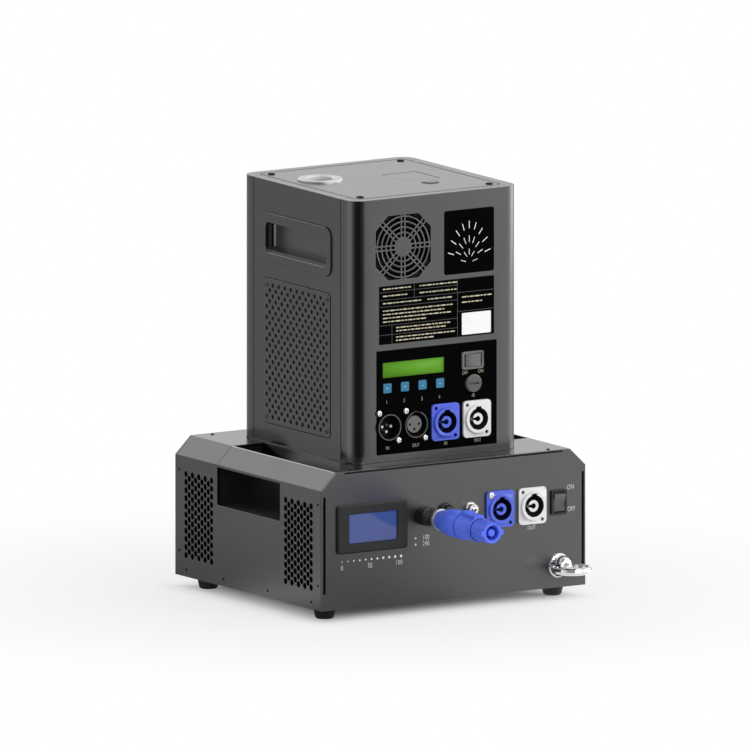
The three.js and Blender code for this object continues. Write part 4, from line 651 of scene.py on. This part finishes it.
# %% Model one screw head of unit radius
def swept(loops, closed):
    sheet = bmesh.new()
    rings = [[sheet.verts.new(point) for point in loop] for loop in loops]
    for i in range(len(rings) if closed else len(rings) - 1):
        first, second = rings[i], rings[(i + 1) % len(rings)]
        for j in range(len(first)):
            k = (j + 1) % len(first)
            sheet.faces.new((first[j], second[j], second[k], first[k]))
    if not closed:
        sheet.faces.new(rings[0])
        sheet.faces.new(list(reversed(rings[-1])))
    bmesh.ops.recalc_face_normals(sheet, faces=sheet.faces)
    return as_mesh(sheet, "swept")


def pattern(name, rings, sides=24):
    turns = [2 * math.pi * i / sides for i in range(sides)]
    loops = []
    for radius, height, *shape in rings:
        reach = [radius * (shape[0](angle) if shape else 1) for angle in turns]
        loops.append([(r * math.cos(a), r * math.sin(a), height) for r, a in zip(reach, turns)])
    piece = linked(name, softened(swept(loops, False), 35))
    piece.hide_render = True
    return piece


def cross(angle):
    near_arm = abs((angle + math.pi / 4) % (math.pi / 2) - math.pi / 4) < math.pi / 9
    return 1.0 if near_arm else 0.42


screw_head = pattern("screw_head", [
    (1, 0), (1, 0.16), (0.82, 0.36), (0.66, 0.42), (0.62, 0.42, cross), (0.56, 0.08, cross),
])

# %% The rule that stands a shape on every point
studded = Rule("shape_on_points", {"Shape": "Object"})
arrow = studded.box("GeometryNodeInputNamedAttribute", {"data_type": "FLOAT_VECTOR"}, {"Name": "facing"})
reach = studded.box("GeometryNodeInputNamedAttribute", {"data_type": "FLOAT"}, {"Name": "reach"})
aimed = studded.box("FunctionNodeAlignRotationToVector", {"axis": "Z"}, {"Vector": arrow})
shape = studded.box("GeometryNodeObjectInfo", None, {"Object": studded.given("Shape")}, "Geometry")
studded.close(studded.box("GeometryNodeInstanceOnPoints", None, {
    "Points": studded.given("Geometry"), "Instance": shape, "Rotation": aimed, "Scale": reach,
}))


def studs(name, body, shape, places, finish):
    points = bpy.data.meshes.new("places")
    points.from_pydata([Vector(at) * MM for at, facing, reach in places], [], [])
    for label, kind, field, values in (
        ("facing", "FLOAT_VECTOR", "vector", [part for at, facing, reach in places for part in facing]),
        ("reach", "FLOAT", "value", [reach * MM for at, facing, reach in places]),
    ):
        points.attributes.new(label, kind, "POINT").data.foreach_set(field, values)
    mesh = studded.made_from(points, Shape=shape, Finish=finish)
    while mesh.materials[0] is None:
        mesh.materials.pop(index=0)
    piece = linked(name, mesh)
    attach(piece, body)
    return piece


# %% Screw the sheets down
LEFT, RIGHT, FRONT, REAR, UP = (-1, 0, 0), (1, 0, 0), (0, -1, 0), (0, 1, 0), (0, 0, 1)
base_side, base_top = box_of("base_cover")[1].x, box_of("base_cover")[1].z
tower_top = box_of("tower_top_plate")[1].z
plate_out = TOWER_SIDE + (box_of("vent_plate_right")[1].x - TOWER_SIDE) * PRESSED
base_rear = box_of("base_rear_panel")[1].y
base_screws = [((x, middle_y + y, base_top), UP, 1.5) for x in (-97.8, 97.8) for y in (-107, 107)]
base_screws += [((x, base_rear, z), REAR, 1.6) for x in (-118, 118) for z in (24, 100)]
tower_screws = [((x, middle_y + y, tower_top - 0.75), UP, 3.6) for x in (-63.7, 63.7) for y in (-69, 69)]
plate_screws = []
for side, facing in ((-1, LEFT), (1, RIGHT)):
    x, plate_x = side * base_side, side * plate_out
    base_screws += [((x, middle_y + y, z), facing, 1.1) for y in (-107.8, 107.8) for z in (31, 99.5)]
    base_screws += [((x, middle_y + y, 16), facing, 1.1) for y in (96.6, 39, -29.5, -98)]
    plate_screws += [((plate_x, middle_y + y, z), facing, 2.1) for y in (-46.8, 46.8) for z in (148.9, 260.1)]
studs("base_screws", "base", screw_head, base_screws, liner_black)
studs("tower_screws", "tower", screw_head, tower_screws, liner_black)
studs("plate_screws", "tower", screw_head, plate_screws, paint)
panel_front = box_of("control_panel")[0].y
signal_screws = [
    ((x + end * 9.5, panel_front, 155.1 - end * 12), FRONT, 2.7) for x in (-47.6, -21.3) for end in (-1, 1)
]
studs("signal_socket_screws", "tower", screw_head, signal_screws, chrome)
front = box_of("base_front_panel")[0].y
inlet_front = front - 2.2
studs("inlet_screw", "base", screw_head, [((35.7, inlet_front, 93.5), FRONT, 2.9)], chrome)
print(len(base_screws), "screws in the base,", len(tower_screws + plate_screws), "in the tower")

# %% [markdown]
# ## Lettering and printed plates
# Only general marks are printed: ON and OFF at the switches, IN and OUT at the sockets, and plain
# numbers at the keys and round the meter. Words come from a text curve that is made a mesh first and
# laid on its face afterwards, because a finished piece keeps its place in its mesh.

# %% Lay print on a face
TURNS = {
    "front": ((1, 0, 0), (0, 0, 1), (0, -1, 0)),
    "left": ((0, -1, 0), (0, 0, 1), (-1, 0, 0)),
    "right": ((0, 1, 0), (0, 0, 1), (1, 0, 0)),
    "top": ((1, 0, 0), (0, 1, 0), (0, 0, 1)),
}


def laid(side, at):
    turn = Matrix([Vector(axis) for axis in TURNS[side]]).transposed().to_4x4()
    return Matrix.Translation(Vector(at) * MM) @ turn @ Matrix.Scale(MM, 4)


def word_mesh(words, height, squeeze=0.78):
    curve = bpy.data.curves.new("words", "FONT")
    curve.body = words
    curve.size = height / 0.7
    curve.align_x = "CENTER"
    curve.align_y = "CENTER"
    curve.resolution_u = 4
    curve.extrude = 0.03
    curve.offset = -0.018 * height
    mesh = evaluated(linked("words", curve))
    mesh.transform(Matrix.Diagonal((squeeze, 1, 1, 1)))
    return mesh


def outline_plate(points, thickness):
    sheet = bmesh.new()
    face = sheet.faces.new([sheet.verts.new((x, y, 0)) for x, y in points])
    raised = bmesh.ops.extrude_face_region(sheet, geom=[face])
    top = [item for item in raised["geom"] if isinstance(item, bmesh.types.BMVert)]
    bmesh.ops.translate(sheet, verts=top, vec=(0, 0, thickness))
    bmesh.ops.recalc_face_normals(sheet, faces=sheet.faces)
    return as_mesh(sheet, "plate")


def rounded(width, height, corner, steps=5):
    points = []
    for quarter, (sx, sy) in enumerate(((1, 1), (-1, 1), (-1, -1), (1, -1))):
        x, y = sx * (width / 2 - corner), sy * (height / 2 - corner)
        for step in range(steps + 1):
            angle = math.radians(90 * quarter + 90 * step / steps)
            points.append((x + corner * math.cos(angle), y + corner * math.sin(angle)))
    return points


def plate_at(size, thickness, side, at):
    return outline_plate(rounded(*size), thickness), laid(side, at)


def printed(words, y):
    return [(word_mesh(text, height), laid("front", (x, y, z))) for text, x, z, height in words]


def gathered(name, body, parts, finish):
    sheet = bmesh.new()
    for mesh, matrix in parts:
        mesh.transform(matrix)
        sheet.from_mesh(mesh)
    mesh = as_mesh(sheet, name)
    mesh.materials.clear()
    mesh.materials.append(finish)
    for face in mesh.polygons:
        face.material_index = 0
    piece = linked(name, mesh)
    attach(piece, body)
    return piece


# %% Print the base
print_on_base = printed([
    ("0", -110, 44.9, 4.1), ("50", -82.4, 44.9, 4.1), ("100", -53.8, 44.9, 4.1),
    ("100", -27.2, 63.8, 4.1), ("240", -27.2, 58.7, 4.1),
    ("ON", 115.4, 93.6, 4), ("OFF", 116.2, 75.1, 4),
    ("IN", 45.2, 62.8, 3.4), ("OUT", 76.9, 62.8, 3.4),
], front)
dots = [(-110 + 5.82 * i, 50.3, 0.9 + 0.16 * i) for i in range(11)] + [(-37.4, 63.9, 1.7), (-37.4, 58.6, 1.7)]
for x, z, across in dots:
    print_on_base.append(plate_at((across, across, across / 2, 3), 0.03, "front", (x, front, z)))
gathered("base_print", "base", print_on_base, ink)
print(len(print_on_base), "marks on the base")

# %% Print the control panel
keys = [("+", -49.8, 3), ("=", -32.5, 3), ("-", -15.1, 4), ("-", 2.2, 4)]
print_on_panel = printed([
    ("OFF", 27.4, 194.2, 3), ("ON", 43, 194.4, 3),
    *((str(number), x, 176.2, 3) for number, (mark, x, height) in enumerate(keys, 1)),
    ("IN", -48.8, 137.4, 3), ("OUT", -21, 137.4, 3), ("IN", 8.4, 136.4, 3), ("OUT", 40, 136.4, 3),
    ("10", 35.4, 174.6, 3),
], panel_front)
gathered("panel_print", "tower", print_on_panel, warm_ink)
for number, (mark, x, height) in enumerate(keys, 1):
    key = "menu_button_%d" % number
    raised = (word_mesh(mark, height, 1), laid("front", (x, box_of(key)[0].y, 188)))
    gathered("key_mark_%d" % number, key, [raised], ink)

# %% [markdown]
# ### Printed plates
# A black plate and a black label are stuck on the front of the tower. The label is a form of hairlines
# and plain dashes with a white paper field. The plate has a burst of short strokes in a light ink, laid
# out by the same rule as the screws.

# %% Stick the plates on
tower_front = box_of("tower_front_shell")[0].y
plates = [
    plate_at((49, 54, 2.2), 0.3, "front", (32.1, tower_front, 305.3)),
    plate_at((113.4, 49.2, 0.8), 0.15, "front", (0, tower_front, 249.6)),
]
gathered("front_plates", "tower", plates, panel_foil)
rules = [
    (0, 262.5, 113, 0.22), (-18, 269, 77, 0.22), (-18, 256.6, 77, 0.22), (-18, 241, 77, 0.22),
    (-18, 233, 77, 0.22), (20.6, 249.6, 0.22, 49), (-22, 268.3, 0.22, 11.6), (-44, 233, 0.22, 16),
    (38.7, 246.6, 36, 0.22),
]
label_front = tower_front - 0.15
form = [
    plate_at((wide, high, min(wide, high) / 2.2, 1), 0.03, "front", (x, label_front, z))
    for x, z, wide, high in rules
]
gathered("label_rules", "tower", form, grey_ink)
field = plate_at((28.6, 18.4, 0.6), 0.04, "front", (39.2, label_front, 235.6))
gathered("label_field", "tower", [field], ink)
dashes = []
for x, z, length, step in (
    (-53, 271.7, 26, 0), (-17, 271.7, 33, 2), (-53, 265.8, 22, 1), (-17, 265.8, 36, 4), (-53, 259.6, 36, 3),
    (-9, 259.6, 25, 5), (-53, 253.3, 68, 2), (-53, 250.2, 61, 0), (-53, 247.1, 66, 4), (-53, 244, 40, 1),
    (-40, 238.4, 54, 3), (-40, 235.6, 47, 5), (-40, 230.4, 56, 0), (-40, 227.6, 38, 2),
    (25, 258.4, 27, 1), (25, 254, 20, 4),
):
    at = x
    while at < x + length:
        long = (2.6, 4.4, 1.8, 3.4, 5.2, 2.2)[step % 6]
        dashes.append(plate_at((long, 1, 0.3, 1), 0.03, "front", (at + long / 2, label_front, z)))
        at += long + 0.9
        step += 1
gathered("label_dashes", "tower", dashes, warm_ink)
print(len(rules), "rules and", len(dashes), "dashes on the label")

# %% Print the burst of strokes
half_stroke = [(0.36, 2.1), (0.3, 2.5), (0.02, 2.6)]
stroke = pattern("stroke", [(radius, -z) for radius, z in reversed(half_stroke)] + half_stroke, 8)
burst = []
plate_front = tower_front - 0.3
for row, (radius, count) in enumerate(((9, 5), (18, 7), (28, 9))):
    for i in range(count):
        angle = math.radians(18 + 144 * (i + 0.5 * (row % 2)) / (count - 1 + (row % 2)))
        way = (math.cos(angle), 0, math.sin(angle))
        at = (32.1 + radius * way[0] * 0.68, plate_front + 0.2, 285.5 + radius * way[2] * 1.2)
        burst.append((at, way, 1.0 + 0.12 * row))
studs("burst_print", "tower", stroke, burst, ink)
print(len(burst), "strokes")

# %% [markdown]
# ## Seams, hems and skirts
# Where two sheets meet there is a dark line, and where a sheet is folded over there is a light one. The
# solids' gaps are finer than the real ones' shadows, so each seam is drawn as a ribbon: a thin strip
# swept along a path on the sheet. Frames are swept in the same way between two outlines, and the helper
# that made the screw head serves both.

# %% Sweep a section along a path
def ribbon(points, width, thickness=0.06, closed=False):
    flat = [Vector(point) for point in points]
    count = len(flat)
    steps = range(count if closed else count - 1)
    ways = [(flat[(i + 1) % count] - flat[i]).normalized() for i in steps]
    loops = []
    for i, here in enumerate(flat):
        after = ways[i] if i < len(ways) else ways[-1]
        before = ways[i - 1] if closed or i else ways[0]
        along = (before + after).normalized()
        aside = Vector((-along.y, along.x)) * width / 2 / max(0.3, along.dot(after))
        low, high = here - aside, here + aside
        loops.append([(*low, 0), (*high, 0), (*high, thickness), (*low, thickness)])
    return swept(loops, closed)


def framed(outer, inner, low, high):
    return swept([[(*o, low), (*i, low), (*i, high), (*o, high)] for o, i in zip(outer, inner)], True)


# %% Seams of the tower
seams = []
for side, way in SIDES:
    x = side * TOWER_SIDE
    for y in (-67.7, 67.7):
        seams.append((ribbon([(0, 126.9), (0, 347.9)], 0.75), laid(way, (x, middle_y + y, 0))))
    round_plate = ribbon(rounded(104, 122.8, 3.4), 0.5, closed=True)
    seams.append((round_plate, laid(way, (x, middle_y, VENT_HEIGHT))))
round_top = ribbon(rounded(142.4, 153.4, 4.5), 0.9, closed=True)
seams.append((round_top, laid("top", (0, middle_y, tower_top))))
hatch_low, hatch_high = box_of("hatch_lid")
beyond_x, beyond_y = hatch_high.x + 0.45, hatch_high.y + 0.45
hatch_line = [(hatch_low.x, beyond_y), (beyond_x, beyond_y), (beyond_x, hatch_low.y)]
seams.append((ribbon(hatch_line, 0.85), laid("top", (0, 0, tower_top))))
knob = sum(box_of("hatch_latch"), Vector()) / 2
seams.append((ribbon([(-12.5, 0), (-7.5, 0)], 0.6), laid("top", (knob.x, knob.y, tower_top))))
for at, facing, reach in plate_screws:
    way = "left" if facing == LEFT else "right"
    circle = [(reach * math.cos(a), reach * math.sin(a)) for a in map(math.radians, range(0, 360, 30))]
    seams.append((ribbon(circle, 0.45, closed=True), laid(way, at)))
    seams.append((ribbon([(-1.1, -0.6), (1.1, 0.6)], 0.6, 1.0), laid(way, at)))
gathered("tower_seams", "tower", seams, liner_black)
print(len(seams), "seams on the tower")

# %% [markdown]
# ### Pressed frames round the handles
# Each handle cup is pressed from its own sheet, and its flange stands proud of the wall. The upper edge
# and the lower lip of its mouth carry light strips, painted highlights. In the corner of the cup's rear
# end stand a white strip, a painted highlight, and beside it a dark strip, painted shade.

# %% Frame the handles
CUP_HEIGHT = 300.3
FLANGE_RISE = 1.3
end_wall = laid("front", (0, middle_y + 47.3, CUP_HEIGHT))
for side, way in SIDES:
    on_wall = laid(way, (side * TOWER_SIDE, middle_y, CUP_HEIGHT))
    on_flange = laid(way, (side * (TOWER_SIDE + FLANGE_RISE), middle_y, CUP_HEIGHT))
    flange = framed(rounded(107, 41.4, 9, 8), rounded(95, 25.4, 5, 8), -2.2, FLANGE_RISE)
    # Painted highlights along the upper edge and the lower lip of the cup's mouth.
    lip_highlights = [(ribbon([(-44, z), (44, z)], width), on_flange) for z, width in ((20.5, 0.5), (-13.1, 0.95))]
    # Painted highlight: a white strip in the corner of the cup's rear end.
    corner_glint = ribbon([(side * 74, -11), (side * 74, 11)], 1.9)
    # Painted shade: a dark strip beside it in the same corner.
    corner_shade = ribbon([(side * 76.2, -11.5), (side * 76.2, 11.5)], 2.2)
    gathered("handle_flange_" + way, "tower", [(flange, on_wall)], paint)
    gathered("handle_worn_" + way, "tower", lip_highlights, worn_paint)
    gathered("handle_seal_" + way, "tower", [(corner_glint, end_wall)], white_plastic)
    gathered("handle_fold_" + way, "tower", [(corner_shade, end_wall)], liner_black)

# %% [markdown]
# ### Shade sheets, skirt and hems
# Black sheets lie behind the punched walls, painted shade that makes the holes read dark. The tower
# stands on a low skirt, as wide as its own walls, with a black strip at each corner, painted shadow of
# the gap under the shells. Each grip opening has a folded hem along its outer edge with a light strip,
# a painted highlight, and the front sheet of the base stops a little short of the cover.

# %% Shade the holes
# Painted shade: black sheets behind the punched walls make the holes read dark.
base_felts, tower_felts = [], []
for side, way in SIDES:
    for y in HOLE_GROUPS:
        base_felts.append(plate_at((47, 78, 1), 0.3, way, (side * 127.2, y, HOLE_HEIGHT)))
    behind_plate = (side * (TOWER_SIDE + 0.02), middle_y, VENT_HEIGHT)
    tower_felts.append(plate_at((97, 116, 1), 0.1, way, behind_plate))
gathered("base_felts", "base", base_felts, liner_black)
gathered("tower_felts", "tower", tower_felts, liner_black)

# %% Raise the skirt and fold the hems
skirt = framed(rounded(164, 175, 12, 8), rounded(160, 171, 10, 8), 0, 0.78)
gathered("tower_skirt", "base", [(skirt, laid("top", (0, middle_y, base_top)))], paint)
# Painted shadow: a black strip in the skirt at each corner, under the gap of the shells.
gap_shades = []
for sx, sy in ((-1, -1), (-1, 1), (1, -1), (1, 1)):
    loops = []
    for a in map(math.radians, (-18, -6, 4, 14, 24, 34)):
        far, near = ((sx * (70 + r * math.cos(a)), sy * (75.5 + r * math.sin(a))) for r in (12.06, 11.6))
        loops.append([(*far, 0.3), (*near, 0.3), (*near, 0.95), (*far, 0.95)])
    gap_shades.append((swept(loops, False), laid("top", (0, middle_y, base_top))))
gathered("skirt_slits", "base", gap_shades, liner_black)
hems = []
corners = [(ribbon([(-107.5, 124.8), (107.5, 124.8)], 1.7), laid("front", (0, front, 0)))]
ROOF_EDGE = 115
slope = math.atan2(15, 14.5)
for side, way in SIDES:
    edge = Matrix.Translation(Vector((side * ROOF_EDGE, middle_y, base_top)) * MM)
    lean = edge @ Matrix.Rotation(-side * slope, 4, "Y") @ laid(way, (0, 0, 0))
    ahead, rear = -side * 111, side * 49.4
    hems.append((ribbon([(-ahead * 0.44, -0.5), (ahead, -0.5)], 0.9, 0.1), lean))
    corners.append((ribbon([(rear, -0.3), (rear, -20.5)], 0.4), lean))
# Painted highlight: a light strip along the fold of each hem.
gathered("grip_hems", "base", hems, bare_edge)
gathered("base_seams", "base", corners, liner_black)
print("lined, skirted and hemmed")

# %% [markdown]
# ### Painted backs of the grips
# Under each slot the sloping back of the pocket is a painted sheet that turns black toward the rear,
# and the depth below is black: both are painted shade. The sheet takes its slope from the pocket's
# largest sloping face, and hangs from the opening's inner edge.

# %% Lay the painted backs
SLOT_EDGE = (83.06, 125.94)
for side, way in SIDES:
    mesh = skins["grip_pocket_" + way].data
    sloping = [face for face in mesh.polygons if face.normal.x * side > 0.7 and 0.05 < face.normal.z < 0.7]
    back = max(sloping, key=lambda face: face.area)
    ends = sorted(mesh.vertices[i].co.y / MM for i in back.vertices)
    down = Vector((side * back.normal.z, 0, -abs(back.normal.x))).normalized() * 15
    out = back.normal * 0.2
    loops = []
    for y in (ends[0] + 0.3, ends[-1] - 0.3):
        top = Vector((side * SLOT_EDGE[0], y, SLOT_EDGE[1]))
        loops.append([top, top + down, top + down + out, top + out])
    painted = (swept(loops, False), Matrix.Scale(MM, 4))
    gathered("grip_back_" + way, "base", [painted], shaded_paint)
    print(way, "back from", [round(v, 1) for v in loops[0][0]], "normal", [round(v, 2) for v in back.normal])

# %% [markdown]
# ### Rings on the plug
# The plug's body is stepped, with a thin dark ring of painted shade and a bead at each step, swept round the
# plug's axis.
# The inner bead leaves a gap for the latch. The coupling ring is ribbed for fingers, and since the ribs
# repeat, a rule stands them on a circle.

# %% Bead the plug
plug_low, plug_high = box_of("plug_body")
plug_axis = ((plug_low.x + plug_high.x) / 2, 82.8)
FIRST_STEP = 11.6


def bead(radius, place, width, rise, gap, sides=48):
    low, high = radius - 0.6, radius + rise
    loops = []
    for i in range(sides + (gap > 0)):
        angle = math.pi / 2 + gap + (2 * math.pi - 2 * gap) * i / sides
        section = ((low, 0), (high, 0.25), (high, width - 0.25), (low, width))
        loops.append([(r * math.cos(angle), r * math.sin(angle), depth) for r, depth in section])
    return swept(loops, gap == 0), laid("front", (plug_axis[0], place, plug_axis[1]))


latch_low, latch_high = box_of("plug_latch")
under_latch = math.asin(((latch_high.x - latch_low.x) / 2 + 0.8) / FIRST_STEP)
for place, radius, gap in ((-123.1, FIRST_STEP, under_latch), (-146.8, 10.2, 0)):
    # Painted shade: a dark ring just beside each bead.
    groove_shade = bead(radius - 0.75, place - 1.1, 0.9, 0.12, gap)
    gathered("plug_groove_%d" % -place, "plug", [groove_shade], well_blue)
    mesh, matrix = bead(radius, place, 1.1, 0.45, gap)
    gathered("plug_bead_%d" % -place, "plug", [(softened(mesh, 40), matrix)], plug_plastic)
rib = pattern("rib", [(0.3, -1.7), (0.5, -1.5), (0.5, 1.5), (0.3, 1.7)], 8)
ring_low, ring_high = box_of("coupling_ring")
ring_middle = (ring_low + ring_high) / 2
ring_reach = (ring_high.x - ring_low.x) / 2 - 0.15
ribs = []
for i in range(24):
    a = 2 * math.pi * i / 24
    x, z = ring_middle.x + ring_reach * math.cos(a), ring_middle.z + ring_reach * math.sin(a)
    ribs.append(((x, ring_middle.y, z), FRONT, 1.0))
studs("ring_ribs", "coupling_ring", rib, ribs, satin_chrome)
for helper in (screw_head, stroke, rib):
    bpy.data.objects.remove(helper)
print(len(ribs), "ribs round the coupling ring")

# %% [markdown]
# ## Studio
# The floor is a white sheet. Close to the machine it keeps the soft shadow, and farther out the camera
# sees plain white. Satin paint shows mostly what it mirrors, so what stands around the machine matters
# more than the lamps. A ring of tones stands for black and white cards: dark behind the camera, which
# draws the dark stripe on the tower's round corner, white at both sides, and grey behind and at the far
# left. The sky and the near floor have rings of their own. Only mirrored rays see a ring.

# %% Write the ring of tones
near_side = Vector((math.sin(azimuth), -math.cos(azimuth), 0))
TONES = [
    (-180, 0.3), (-165, 0.28), (-140, 0.27), (-115, 0.275), (-90, 0.4), (-70, 0.58), (-58, 0.5), (-44, 0.27),
    (-34, 0.12), (-22, 0.025), (-8, 0.005), (20, 0.005), (32, 0.04), (40, 0.15), (48, 0.4), (56, 0.5),
    (66, 0.51), (76, 0.56), (90, 0.85), (112, 0.85), (126, 0.4), (143, 0.22), (165, 0.28), (180, 0.3),
]
SKY_TONES = [
    (-180, 0.5), (-150, 0.36), (-140, 0.27), (-115, 0.275), (-90, 0.4), (-70, 0.55), (-45, 0.4), (-20, 0.15),
    (20, 0.15), (45, 0.4), (70, 0.55), (90, 0.8), (112, 0.8), (126, 0.5), (150, 0.36), (180, 0.5),
]
NEAR_TONES = []
for angle, tone in TONES:
    dimmed = 1.05 if -80 < angle < 126 else 0.6 if angle > 0 else 0.45
    NEAR_TONES.append((angle, max(tone, 0.04) * dimmed))
BRIGHTEST = 2.0


def tone_ring(sheet, way, tones):
    across = sheet.dot(way, picture_right)
    turned = across.maths("ARCTAN2", across, sheet.dot(way, near_side))
    ring = sheet.box("ShaderNodeValToRGB", None, {0: turned / (2 * math.pi) + 0.5})
    stops = ring.socket.node.color_ramp.elements
    while len(stops) < len(tones):
        stops.new(0.5)
    for stop, (angle, tone) in zip(stops, tones):
        stop.position = angle / 360 + 0.5
        stop.color = rgb(tone)
    return ring


# %% Lay the floor
reach = 12
mesh = bpy.data.meshes.new("floor")
edges = [(x * reach, y * reach, 0) for x, y in ((-1, -1), (1, -1), (1, 1), (-1, 1))]
mesh.from_pydata(edges, [], [(0, 1, 2, 3)])
floor = linked("floor", mesh)
sheet = Finish("floor_sheet", Roughness=0.6, Specular_IOR_Level=0.1, Base_Color=rgb(0.8))


def ray_kinds(sheet):
    rays = sheet.tree.nodes.new("ShaderNodeLightPath")
    return [Wire(sheet, rays.outputs["Is %s Ray" % kind]) for kind in ("Camera", "Glossy", "Transmission")]


seen, mirrored, through = ray_kinds(sheet)
centred = sheet.box("ShaderNodeMapping", None, {"Vector": sheet.place, "Location": (0, -middle_y * MM, 0)})
distance = sheet.box("ShaderNodeVectorMath", {"operation": "LENGTH"}, {0: centred}, "Value")
away = sheet.fade(distance, 0.15, 0.55)
across, along = (sheet.axis(name, centred) for name in "XY")
beyond_side = across.maths("ABSOLUTE", across) - 130 * MM
beyond_end = along.maths("ABSOLUTE", along) - 114 * MM
apart = across.maths("MAXIMUM", beyond_side, beyond_end)
open_floor = sheet.fade(apart, -0.045, 0.025)
share = seen * (away * 0.28 + open_floor * 0.67 + 0.05) + (mirrored + through) * (away * 0.4 + 0.6)
near_ring, far_ring = (tone_ring(sheet, centred, tones) for tones in (NEAR_TONES, TONES))
glow = sheet.mix(mirrored, rgb(1 / BRIGHTEST), sheet.mix(away, near_ring, far_ring))
white = sheet.box("ShaderNodeEmission", None, {"Color": glow, "Strength": BRIGHTEST})
lit = Wire(sheet, sheet.shader.outputs[0])
both = sheet.box("ShaderNodeMixShader", None, {0: share, 1: lit, 2: white})
sheet.tree.links.new(both.socket, sheet.tree.nodes["Material Output"].inputs["Surface"])
floor.data.materials.append(sheet.material)
print("floor laid,", 2 * reach, "m wide")

# %% Raise the sky
world = bpy.data.worlds.new("sky")
bpy.context.scene.world = world
world.use_nodes = True
sky = Sheet(world.node_tree)
background = world.node_tree.nodes["Background"]
background.inputs["Color"].default_value = rgb(1.0)
seen, mirrored, through = ray_kinds(sky)
ring = tone_ring(sky, sky.box("ShaderNodeTexCoord", output="Generated"), SKY_TONES)
strength = 0.6 + (seen + through) * 0.4 + mirrored * (ring * BRIGHTEST - 0.6)
world.node_tree.links.new(strength.socket, background.inputs["Strength"])
print("sky of", len(SKY_TONES), "tones")


# %% Hang the soft boxes
def soft_box(name, place, size, radiance, target=(0, 0.05, 0.15)):
    lamp = bpy.data.lights.new(name, "AREA")
    lamp.shape = "RECTANGLE"
    lamp.size, lamp.size_y = size
    lamp.energy = radiance * math.pi * size[0] * size[1]
    holder = linked(name, lamp)
    holder.location = place
    holder.rotation_euler = (Vector(target) - Vector(place)).to_track_quat("-Z", "Y").to_euler()
    return lamp.energy


powers = [
    soft_box("front_box", (0.5, -1.9, 1.1), (1.2, 1.0), 5.0),
    soft_box("right_box", (1.7, -0.1, 0.5), (1.2, 1.2), 3.0),
    soft_box("back_box", (-0.35, 1.8, 1.25), (1.8, 1.1), 1.05),
]
print("soft boxes of", [round(power) for power in powers], "watts")
